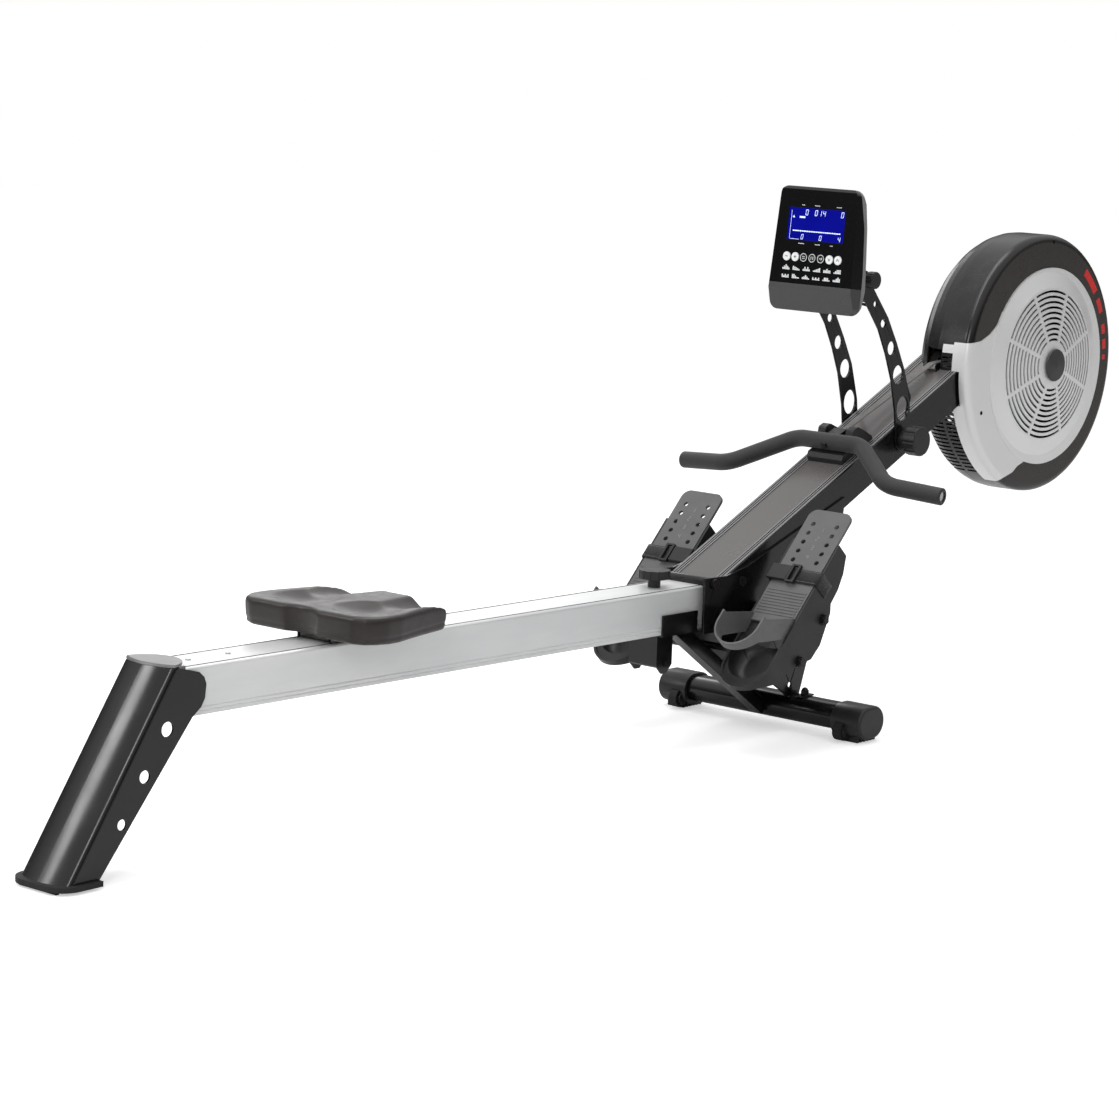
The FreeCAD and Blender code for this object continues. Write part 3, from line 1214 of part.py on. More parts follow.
def make_wheel_train():
    """Spindle, air wheel with vanes, strap reel, and the magnet carrier beside the wheel."""
    half = d.beam_width / 2 + d.plate_sheet + 5
    keep(cross_rod("spindle", d.spindle_radius, half, d.wheel_x, d.wheel_z), "wheel_spindle")
    bore = float(d.spindle_radius) + float(d.fly_gap)
    wide, radius = float(d.fly_width), float(d.fly_radius)
    near = -50.0
    disc = Part.makeCylinder(radius, 5, V(0, near + wide - 5, 0), Y_AXIS)
    hub = Part.makeCylinder(24, wide, V(0, near, 0), Y_AXIS)
    wheel = disc.fuse(hub)
    for number in range(24):
        vane = Part.makeBox(radius - 62, wide - 4, 2.5, V(58, near, -1.25))
        vane.rotate(V(58, 0, 0), Y_AXIS, 24)
        vane.rotate(V(0, 0, 0), Y_AXIS, 15 * number)
        wheel = wheel.fuse(vane)
    limit = Part.makeCylinder(radius, wide, V(0, near, 0), Y_AXIS)
    wheel = wheel.common(limit)
    wheel = wheel.cut(Part.makeCylinder(bore, 200, V(0, -100, 0), Y_AXIS)).removeSplitter()
    keep(feature("air_wheel_shape", wheel, d.wheel_x, 0, d.wheel_z), "air_wheel")
    reel_half = d.reel_width / 2
    drum = [cross_rod("reel_drum", d.reel_radius - 4, reel_half, d.wheel_x, d.wheel_z)]
    for side in (RIGHT, LEFT):
        drum.append(cross_rod("reel_flange", d.reel_radius + 6, 1, d.wheel_x, d.wheel_z,
                              y=(reel_half - 1) * side))
    hole = cross_rod("reel_bore", d.spindle_radius + d.fly_gap, reel_half * 2, d.wheel_x, d.wheel_z)
    keep(minus("reel_cut", join("reel_body", drum), [hole]), "strap_reel")
    make_magnet_carrier()
    make_guide_roller()


def recoil_drum(centre):
    """Spring case beside the reel: a flat drum on a stem from the left fork plate."""
    gap = float(d.spindle_radius) + 1
    start = float(d.reel_width) / 2 + 2
    drum = Part.makeCylinder(38, 16, V(0, start, 0), Y_AXIS)
    stem = Part.makeCylinder(14, float(d.beam_width) / 2 - start, V(0, start, 0), Y_AXIS)
    drum = drum.fuse(stem).cut(Part.makeCylinder(gap, 200, V(0, 0, 0), Y_AXIS))
    drum.translate(centre)
    return drum


CARRIER_X, CARRIER_Z, CARRIER_PIN = 34, -168, 4


def make_magnet_carrier():
    """Brake arm under the air wheel: a curved magnet holder that swings from one end."""
    inner = float(d.fly_radius) + 10
    low, wide = -43.0, 20.0
    band = Part.makeCylinder(inner + 8, wide, V(0, low, 0), Y_AXIS)
    band = band.cut(Part.makeCylinder(inner, wide, V(0, low, 0), Y_AXIS))
    arm = band.common(slab([(0, 0), (62, -260), (-150, -260)], 400))
    eye = Part.makeCylinder(9, wide, V(CARRIER_X, low, CARRIER_Z), Y_AXIS)
    arm = arm.fuse(eye.cut(Part.makeCylinder(inner, wide, V(0, low, 0), Y_AXIS)))
    bore = Part.makeCylinder(CARRIER_PIN + float(d.bolt_gap), wide, V(CARRIER_X, low, CARRIER_Z), Y_AXIS)
    keep(feature("magnet_arm", arm.cut(bore).removeSplitter(), d.wheel_x, 0, d.wheel_z),
         "magnet_carrier")


def carrier_pin():
    """Pin of the brake arm on a boss that is moulded in the right shell."""
    wall_y = -float(d.right_face) + float(d.shell_wall) / 2
    pin = Part.makeCylinder(CARRIER_PIN, -22 - wall_y, V(CARRIER_X, wall_y, CARRIER_Z), Y_AXIS)
    boss = Part.makeCylinder(8, -43.5 - wall_y, V(CARRIER_X, wall_y, CARRIER_Z), Y_AXIS)
    return pin.fuse(boss)


def guide_centre():
    """The guide roller's centre, under the strap, in x and z."""
    slope = strap_slope()
    under = float(d.guide_radius) + float(d.pull_thick) / 2 + float(d.strap_gap)
    return (float(d.guide_x) + under * math.sin(slope * 0.6),
            float(d.guide_z) - under * math.cos(slope * 0.6))


def make_guide_roller():
    """Roller that leads the pull strap into the housing."""
    x, z = guide_centre()
    half = float(d.pull_width) / 2 + 3
    wheel = Part.makeCylinder(float(d.guide_radius), 2 * half, V(x, -half, z), Y_AXIS)
    bore = Part.makeCylinder(float(d.guide_pin) + float(d.bolt_gap), 2 * half, V(x, -half, z), Y_AXIS)
    keep(feature("guide_roller_shape", wheel.cut(bore)), "guide_roller")


def strap_guide():
    """Pin of the guide roller between two ears that stand in the beam's recess."""
    along, above = along_beam(*guide_centre())
    half = float(d.pull_width) / 2 + 3.4
    low = -float(d.beam_strip_depth)
    bracket = Part.makeCylinder(float(d.guide_pin), 2 * half + 6, V(along, -half - 3, above), Y_AXIS)
    for side in (RIGHT, LEFT):
        ear = slab([(along - 9, low), (along + 9, low), (along + 5, above + 6),
                    (along - 5, above + 6)], 3, centre=V(0, side * (half + 1.5), 0))
        bracket = bracket.fuse(ear)
    return bracket.removeSplitter()


# -------------------------------------------------------------------- handle and strap
def handle_path():
    """Centre line of the handle: a straight middle, two bends down and two straight grips."""
    tip = V(float(d.tip_x), float(d.handle_half), float(d.tip_z))
    low = V(float(d.bend_x), float(d.low_bend), float(d.bend_z))
    high = V(float(d.bar_x), float(d.bar_bend), float(d.bar_z))
    left = [tip, low, high]
    right = [V(point.x, -point.y, point.z) for point in reversed(left)]
    return rounded_path(left + right, [60, 50, 50, 60])


def strap_slope():
    """How steeply the pull strap rises from the handle to its guide."""
    rise = float(d.guide_z) - float(d.bar_z)
    return math.atan2(rise, float(d.guide_x) - float(d.bar_x))


def on_strap(along, y=0.0, above=0.0):
    """A point along the pull strap from the middle of the handle's bar."""
    slope = strap_slope()
    return V(float(d.bar_x) + along * math.cos(slope) - above * math.sin(slope), y,
             float(d.bar_z) + along * math.sin(slope) + above * math.cos(slope))


def make_handle():
    """Bent tube, the foam over it, and the fittings: end plugs, strap clip and its screw."""
    path = handle_path()
    slope = strap_slope()
    ahead = V(math.cos(slope), 0, math.sin(slope))
    foam_radius, tube = float(d.handle_foam), float(d.handle_tube)
    screw = Part.makeCylinder(3.2, 80, on_strap(-40), ahead)
    bar = tube_along(path, tube, tube - float(d.handle_wall)).cut(screw)
    keep(feature("handle_tube", bar), "handle_bar")
    foam = tube_along(path, foam_radius, tube + float(d.handle_gap))
    corner = V(foam_radius - 2.5, -float(d.clip_width) / 2 - 0.5, -30)
    flat = Part.makeBox(60, float(d.clip_width) + 1, 60, corner)
    flat.Placement = FreeCAD.Placement(on_strap(0), FreeCAD.Rotation(Y_AXIS, -math.degrees(slope)))
    keep(feature("handle_sleeve", foam.cut(screw).cut(flat)), "handle_foam")
    pieces = []
    for side in (RIGHT, LEFT):
        tip = V(float(d.tip_x), side * float(d.handle_half), float(d.tip_z))
        low = V(float(d.bend_x), side * float(d.low_bend), float(d.bend_z))
        inward = (low - tip).normalize()
        plug = Part.makeCylinder(tube - float(d.handle_wall) - 0.1, 16, tip + inward * 2, inward)
        pieces.append(plug)
    wide = float(d.clip_width)
    clip = Part.makeBox(26, wide, 15, V(foam_radius - 2, -wide / 2, -7.5))
    clip = clip.makeFillet(3, [edge for edge in clip.Edges if parallel(edge, Y_AXIS)])
    slit = Part.makeBox(40, float(d.pull_width) + 0.6, float(d.pull_thick) + 0.4,
                        V(foam_radius + 12, -float(d.pull_width) / 2 - 0.3, -float(d.pull_thick) / 2 - 0.2))
    clip = clip.cut(slit)
    clip.Placement = FreeCAD.Placement(on_strap(0), FreeCAD.Rotation(Y_AXIS, -math.degrees(slope)))
    shank = Part.makeCylinder(3, foam_radius * 2 + 6, on_strap(-foam_radius - 0.2), ahead)
    head = Part.makeCylinder(6, 3, on_strap(-foam_radius - 3), ahead)
    pieces.append(clip.fuse(shank).fuse(head).removeSplitter())
    keep(feature("handle_fittings_shape", Part.Compound(pieces)), "handle_fittings")


def make_pull_strap():
    """Woven strap from the clip over the guide roller to the top of the reel."""
    half = float(d.pull_thick) / 2
    start = on_strap(float(d.handle_foam) + 13)
    bend = V(float(d.guide_x), 0, float(d.guide_z))
    centre = V(float(d.wheel_x), 0, float(d.wheel_z))
    reach = float(d.reel_radius) + half + 0.3
    away = centre - bend
    lean = math.atan2(away.z, away.x) + math.asin(reach / away.Length)
    length = math.sqrt(away.Length ** 2 - reach ** 2)
    end = bend + V(math.cos(lean), 0, math.sin(lean)) * length
    first = (bend - start).normalize()
    last = (end - bend).normalize()
    up = [V(-run.z, 0, run.x) * half for run in (first, last)]
    mitre = (up[0] + up[1]).normalize() * (half / math.cos(first.getAngle(last) / 2))
    loop = [start + up[0], bend + mitre, end + up[1], end - up[1], bend - mitre, start - up[0]]
    side = V(0, float(d.pull_width) / 2, 0)
    corners = [point - side for point in loop]
    face = Part.Face(Part.makePolygon(corners + corners[:1]))
    keep(feature("pull_web", face.extrude(side * 2)), "pull_strap")


def make_handle_rest():
    """Cradle on the beam that the handle lies in, with two horns behind the bar."""
    along, above = along_beam(d.bar_x, d.bar_z)
    base_low = -float(d.beam_strip_depth)
    half = 38.0
    base = slab([(along - 23, base_low), (along - 23, 8), (along - 17, 15), (along + 20, 15),
                 (along + 64, 12), (along + 70, 6), (along + 70, base_low)], 2 * half)
    base = base.cut(Part.makeBox(200, 200, 4, V(along - 100, -100, base_low)).cut(
        Part.makeBox(200, 2 * half - 1, 4, V(along - 100, -half + 0.5, base_low))))
    for side in (RIGHT, LEFT):
        horn = slab([(along + 8, 10), (along + 17, above), (along + 26, above + 12),
                     (along + 40, above + 11), (along + 58, above - 8), (along + 66, 10)], 16,
                    centre=V(0, side * 30, 0))
        crown = [edge for edge in horn.Edges if parallel(edge, Y_AXIS)
                 and edge.BoundBox.ZMin > above + 5]
        base = base.fuse(horn.makeFillet(5, crown))
    bar = Part.makeCylinder(float(d.handle_foam) + 0.3, 200, V(along, -100, above), Y_AXIS)
    keep(in_beam_frame(feature("rest", base.cut(bar).removeSplitter())), "handle_rest")


# -------------------------------------------------------------------------- console arms
ARM_LINE = ((148, 766, 15.5), (156, 747, 15.5), (207, 687, 16.5), (233.5, 642, 18),
            (257, 594, 20.5), (274.5, 533, 22), (281, 478, 22))
ARM_HOLES = ((181, 722, 5, 5), (207, 687, 7.5, 7.5), (233.5, 642, 10.5, 12),
             (257, 594, 14.5, 16.5), (274.5, 533, 17, 21.5))


def arm_outline():
    """The sides of an arm, set off from its bent centre line, without its round ends."""
    near, far = [], []
    for number, (x, z, half) in enumerate(ARM_LINE):
        before = ARM_LINE[max(number - 1, 0)]
        after = ARM_LINE[min(number + 1, len(ARM_LINE) - 1)]
        run = V(after[0] - before[0], 0, after[1] - before[1]).normalize()
        near.append((x + run.z * half, z - run.x * half))
        far.append((x - run.z * half, z + run.x * half))
    return near + far[::-1]


def make_arms():
    """Two pressed arms with lightening holes that grow downward, and a cross tube."""
    sheet_t = float(d.arm_sheet)
    inner = float(d.beam_width) / 2 + float(d.arm_gap)
    plates = []
    for side in (RIGHT, LEFT):
        y = side * (inner + sheet_t / 2)
        low = V(0, y - sheet_t / 2, 0)
        plate = slab(arm_outline(), sheet_t, centre=V(0, y, 0))
        for x, z, radius in (ARM_LINE[0], ARM_LINE[-1]):
            plate = plate.fuse(Part.makeCylinder(radius, sheet_t, low + V(x, 0, z), Y_AXIS))
        for x, z, wide, tall in ARM_HOLES:
            round_part = Part.makeCylinder(wide, sheet_t, low + V(x, 0, z), Y_AXIS)
            plate = plate.cut(stretched(round_part, tall / wide, z))
        for x, z, radius in ((d.arm_pivot_x, d.arm_pivot_z, d.arm_bolt_radius),
                             (d.tilt_x, d.tilt_z, d.tilt_bolt_radius)):
            hole = float(radius) + float(d.bolt_gap)
            plate = plate.cut(Part.makeCylinder(hole, sheet_t, low + V(float(x), 0, float(z)), Y_AXIS))
        plates.append(plate.removeSplitter())
    tube = Part.makeCylinder(7, 2 * inner, V(172, -inner, 731), Y_AXIS)
    arms = plates[0].fuse(tube).fuse(plates[1]).removeSplitter()
    keep(feature("arms", arms), "console_arms")


def stretched(shape, factor, z):
    """A shape made taller about a height."""
    grow = FreeCAD.Matrix()
    grow.move(V(0, 0, -z))
    grow.scale(1, 1, factor)
    grow.move(V(0, 0, z))
    return shape.transformGeometry(grow)


def fluted_grip(radius, start, end, flutes, flute_radius):
    """Plastic grip about the cross axis, from start to end in y, with flutes on its rim."""
    low, high = min(start, end), max(start, end)
    grip = Part.makeCylinder(radius, high - low, V(0, low, 0), Y_AXIS)
    outer = [edge for edge in grip.Edges if edge.BoundBox.YMax - edge.BoundBox.YMin < 0.01]
    grip = grip.makeFillet(2.5, outer)
    for number in range(flutes):
        turn = 2 * math.pi * number / flutes
        spot = V((radius + flute_radius * 0.55) * math.cos(turn), low - 1,
                 (radius + flute_radius * 0.55) * math.sin(turn))
        grip = grip.cut(Part.makeCylinder(flute_radius, high - low + 2, spot, Y_AXIS))
    return grip


def make_arm_knob():
    """Large side knob whose bolt passes the arms and the beam, with a cap at its far end."""
    outer = float(d.beam_width) / 2 + float(d.arm_gap) + float(d.arm_sheet)
    radius = float(d.arm_bolt_radius)
    bolt = Part.makeCylinder(radius, 2 * outer + 6, V(0, -outer - 6, 0), Y_AXIS)
    neck = Part.makeCylinder(17, 14, V(0, -outer - 14.5, 0), Y_AXIS)
    grip = fluted_grip(26, -outer - 14, -outer - 40, 10, 4)
    cap = Part.makeCylinder(11, 5, V(0, outer + 0.5, 0), Y_AXIS)
    stub = Part.makeCylinder(radius, 3, V(0, outer - 0.5, 0), Y_AXIS)
    knob = bolt.fuse(neck).fuse(grip).fuse(stub).fuse(cap).removeSplitter()
    keep(feature("arm_knob_shape", knob, d.arm_pivot_x, 0, d.arm_pivot_z), "arm_knob")


def make_tilt_knob():
    """Small side knob whose bolt clamps the console between its arms."""
    outer = float(d.beam_width) / 2 + float(d.arm_gap) + float(d.arm_sheet)
    bolt = Part.makeCylinder(float(d.tilt_bolt_radius), 2 * outer + 3, V(0, -outer - 3, 0), Y_AXIS)
    neck = Part.makeCylinder(9, 8, V(0, -outer - 8.5, 0), Y_AXIS)
    grip = fluted_grip(15, -outer - 8, -outer - 24, 8, 2.5)
    cap = Part.makeCylinder(8, 4, V(0, outer + 0.5, 0), Y_AXIS)
    stub = Part.makeCylinder(float(d.tilt_bolt_radius), 3, V(0, outer - 0.5, 0), Y_AXIS)
    knob = bolt.fuse(neck).fuse(grip).fuse(stub).fuse(cap).removeSplitter()
    keep(feature("tilt_knob_shape", knob, d.tilt_x, 0, d.tilt_z), "tilt_knob")


# ------------------------------------------------------------------------------- console
def in_console_frame(item):
    """Move a piece drawn from the foot of the console's panel to its place."""
    return place(item, d.panel_x, 0, d.panel_z, Y_AXIS, d.console_tilt)


def console_plan(inset):
    """Front view of the console: sides that taper upward and four rounded corners."""
    low, high = -float(d.chin) + inset, float(d.panel_high) + float(d.bezel) - inset
    taper = (float(d.panel_half_low) - float(d.panel_half_top)) / float(d.panel_high)
    half = float(d.panel_half_low) + float(d.bezel) - inset
    bend = 13 - inset
    points = []
    for y_sign, z_sign, first in ((1, -1, -90), (1, 1, 0), (-1, 1, 90), (-1, -1, 180)):
        z = high if z_sign > 0 else low
        centre_y = y_sign * (half - z * taper - bend)
        for step in range(6):
            turn = math.radians(first + 18 * step)
            points.append((centre_y + bend * math.cos(turn),
                           z - z_sign * bend + bend * math.sin(turn)))
    return points


def console_block(inset):
    """Outline of the console, pulled in by a wall."""
    low, high = -float(d.chin) + inset, float(d.panel_high) + float(d.bezel) - inset
    front = inset
    side = [(front, -3 + inset * 0.3), (front, high - 5), (front + 4, high), (14 - inset, high),
            (27 - inset, high - 22), (34 - inset, high - 62), (38 - inset, 58), (41 - inset, 4),
            (34 - inset, low + 16), (24 - inset, low), (14 + inset, low)]
    plan = slab(console_plan(inset), 300, x_dir=Y_AXIS, y_dir=Z_AXIS)
    return slab(side, 240).common(plan)


def make_console():
    """Console in two shells, with its window, its round keys' holes and the tilting lug."""
    wall = float(d.console_wall)
    outer = console_block(0)
    case = outer.cut(console_block(wall))
    window_low, window_high = float(d.window_low), float(d.window_high)
    half = float(d.window_half)
    window = Part.makeBox(10, 2 * half, window_high - window_low, V(-2, -half, window_low))
    case = case.cut(window)
    for number in range(7):
        y = (3 - number) * float(d.button_pitch)
        hole = Part.makeCylinder(float(d.button_radius) + float(d.button_gap), 10,
                                 V(-2, y, float(d.button_row)), X_AXIS)
        case = case.cut(hole)
    split = slab([(-20, -120), (26, -120), (31, 30), (26, 110), (9, 176), (9, 240), (-20, 240)], 260)
    keep(in_console_frame(feature("console_face", case.common(split))), "console_front")
    rear = case.cut(split)
    lug_half = float(d.beam_width) / 2
    lug_x, lug_z = console_local(d.tilt_x, d.tilt_z)
    barrel = Part.makeCylinder(12, 2 * lug_half, V(lug_x, -lug_half, lug_z), Y_AXIS)
    web = Part.makeBox(lug_x - 34, 2 * lug_half, 16, V(34, -lug_half, lug_z - 8))
    gland = Part.makeCylinder(5, 14, V(30, CABLE_Y, -12), X_AXIS)
    rear = rear.fuse(barrel).fuse(web.cut(console_block(0))).fuse(gland.cut(console_block(wall)))
    bore = Part.makeCylinder(float(d.tilt_bolt_radius) + float(d.bolt_gap), 2 * lug_half,
                             V(lug_x, -lug_half, lug_z), Y_AXIS)
    keep(in_console_frame(feature("console_rear", rear.cut(bore).removeSplitter())), "console_back")
    glass = Part.makeBox(2, 2 * half, window_high - window_low, V(0.6, -half, window_low))
    cell = Part.makeBox(4, 2 * half + 6, window_high - window_low + 6,
                        V(wall, -half - 3, window_low - 3))
    stem = Part.makeBox(wall, 2 * half - 1, window_high - window_low - 1,
                        V(0.8, -half + 0.5, window_low + 0.5))
    keep(in_console_frame(feature("display", glass.fuse(cell).fuse(stem).removeSplitter())),
         "console_display")


def console_local(x, z):
    """A world point in the console's frame, along its depth and its height."""
    angle = math.radians(float(d.console_tilt))
    run, rise = float(x) - float(d.panel_x), float(z) - float(d.panel_z)
    return run * math.cos(angle) - rise * math.sin(angle), \
        run * math.sin(angle) + rise * math.cos(angle)


def make_buttons():
    """Seven round keys in a row, with a skirt behind the panel that keeps them in."""
    for number in range(7):
        y = (3 - number) * d.button_pitch
        cap = rod("key_cap", d.button_radius, d.button_out + d.console_wall + 1, -d.button_out, y,
                  d.button_row, along=X_AXIS)
        skirt = rod("key_skirt", d.button_radius + 0.9, 1.2, d.console_wall + 0.3, y,
                    d.button_row, along=X_AXIS)
        keep(in_console_frame(join("key", [cap, skirt])), f"console_button_{number + 1}")


# --------------------------------------------------------------------------------- cable
CABLE_ROUTE = ((112, -46, 732.5), (132, -46, 727), (182, -52, 718), (228, -52.7, 687),
               (255, -52.7, 642), (281, -52.5, 600), (299, -50, 563), (314, -47, 549),
               (305, -46, 533), (305, -46, 506))


def make_cable():
    """Sensor cable from the console, down beside the right arm, into the top of the beam."""
    points = [V(*spot) for spot in CABLE_ROUTE]
    radii = []
    for before, corner, after in zip(points, points[1:], points[2:]):
        back, ahead = before - corner, after - corner
        turn = math.pi - back.getAngle(ahead)
        radii.append(0.45 * min(back.Length, ahead.Length) / math.tan(turn / 2))
    print("cable radii", [round(radius) for radius in radii])
    path = rounded_path(points, radii)
    cable = tube_along(path, d.cable_radius)
    section = math.pi * float(d.cable_radius) ** 2
    print("cable length", round(path.Length), "volume ratio",
          round(cable.Volume / (section * path.Length), 4))
    keep(feature("cable", cable), "console_cable")


# ------------------------------------------------------------------------------ assembly
make_rail()
make_rail_hinge()
make_lock_knob()
make_rail_stops()
make_rear_leg()
make_leg_cap()
make_foot_pad()
make_leg_bolts()
make_seat_pad()
make_carriage()
make_rollers()
make_beam()
make_side_plates()
make_saddle()
make_front_post()
make_stabiliser()
make_stabiliser_caps()
make_transport_wheels()
for hand, way in (("right", RIGHT), ("left", LEFT)):
    make_foot_base(f"foot_base_{hand}", way)
    make_foot_slider(f"foot_slider_{hand}", way)
make_foot_straps()
make_strap_buckles()
make_foot_shafts()
make_frame_fasteners()
make_fold_bolt()
make_shells()
make_grilles()
make_hub_caps()
make_fork()
make_wheel_train()
make_handle()
make_pull_strap()
make_handle_rest()
make_arms()
make_arm_knob()
make_tilt_knob()
make_console()
make_buttons()
make_cable()


# ------------------------------------------------------------------------ check and write
def write_parts():
    """Refuse a broken model, then write one file for each node."""
    doc.recompute()
    for item in doc.Objects:
        if "Invalid" in item.State or "Error" in item.State:
            raise RuntimeError(f"{item.Label} did not build: {item.State}")
    os.makedirs("parts", exist_ok=True)
    for label, item in NODES.items():
        if item.Shape.isNull() or not item.Shape.isValid() or not item.Shape.Solids:
            raise RuntimeError(f"{label} has no valid solid")
        item.Shape.exportStep(f"parts/{label}.step")
        print(label, len(item.Shape.Solids), round(item.Shape.Volume / 1000, 1), "cm3")


write_parts()
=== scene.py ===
# %% [markdown]
# # A rowing machine, finished in Blender
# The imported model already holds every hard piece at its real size. This lesson loads it, gives each
# piece a finish that behaves like the real one, and rebuilds the soft pieces: the seat, the foam on
# the handle, the straps and the cable. Sizes are in metres, +Z is up, +X runs from the seat to the
# air wheel.

# %% Load the frame
import json
import math

import bmesh
import bpy
from mathutils import Matrix, Vector, noise
from mathutils.bvhtree import BVHTree


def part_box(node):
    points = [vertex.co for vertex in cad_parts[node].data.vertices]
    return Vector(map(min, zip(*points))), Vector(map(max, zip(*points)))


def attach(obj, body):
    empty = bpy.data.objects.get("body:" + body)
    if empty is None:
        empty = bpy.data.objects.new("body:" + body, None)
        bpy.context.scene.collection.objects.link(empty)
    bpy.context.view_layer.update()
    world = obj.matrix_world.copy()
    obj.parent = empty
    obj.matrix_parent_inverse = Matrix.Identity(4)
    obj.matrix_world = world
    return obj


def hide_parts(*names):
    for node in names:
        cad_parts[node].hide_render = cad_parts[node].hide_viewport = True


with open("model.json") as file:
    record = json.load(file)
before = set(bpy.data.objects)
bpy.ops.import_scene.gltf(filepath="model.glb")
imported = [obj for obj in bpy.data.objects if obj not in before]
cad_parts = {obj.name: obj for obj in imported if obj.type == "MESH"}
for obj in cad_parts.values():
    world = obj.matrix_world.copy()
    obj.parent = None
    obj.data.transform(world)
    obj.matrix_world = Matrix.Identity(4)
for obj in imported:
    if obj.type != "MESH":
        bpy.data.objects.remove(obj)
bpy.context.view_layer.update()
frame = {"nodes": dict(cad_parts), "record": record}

# %% [markdown]
# ## The camera
# A long lens far from the machine keeps the rail's perspective calm. The camera looks along one
# direction with a slight roll, so its matrix is built from three axes: right, up and back.

# %% The camera
AZIMUTH, ELEVATION, ROLL = (math.radians(value) for value in (-48.853, 9.623, 1.600))
LENS, SENSOR = 112.32, 36.0
CAMERA_PLACE = Vector((-4.7085, -3.6230, 1.2807))


def placed(name, data):
    """A new object for some data, linked to the scene."""
    item = bpy.data.objects.new(name, data)
    bpy.context.scene.collection.objects.link(item)
    return item


back = Vector((math.sin(AZIMUTH) * math.cos(ELEVATION), -math.cos(AZIMUTH) * math.cos(ELEVATION),
               math.sin(ELEVATION)))
right = Vector((math.cos(AZIMUTH), math.sin(AZIMUTH), 0))
up = back.cross(right)
rolled = (math.cos(ROLL) * right + math.sin(ROLL) * up, math.cos(ROLL) * up - math.sin(ROLL) * right)
camera = placed("camera", bpy.data.cameras.new("camera"))
camera.data.lens = LENS
camera.data.sensor_width = SENSOR
camera.data.clip_end = 60
camera.matrix_world = Matrix.Translation(CAMERA_PLACE) @ Matrix((*rolled, back)).transposed().to_4x4()
bpy.context.scene.camera = camera
print("camera", [round(value, 2) for value in camera.location])

# %% [markdown]
# ## Small helpers for finishes
# Every finish starts from the Principled shader. Its texture coordinates are the object's own: each
# model piece keeps its origin at the machine's origin, so a texture scale is in real metres and stays
# on the piece when it moves. Colours are written as the 0 to 255 numbers of a paint chart.

# %% Colour and shader helpers
def chart(red, green, blue):
    """A paint chart colour as the linear numbers that a shader takes."""
    linear = []
    for part in (red, green, blue):
        share = part / 255
        linear.append(share / 12.92 if share <= 0.04045 else ((share + 0.055) / 1.055) ** 2.4)
    return (*linear, 1)


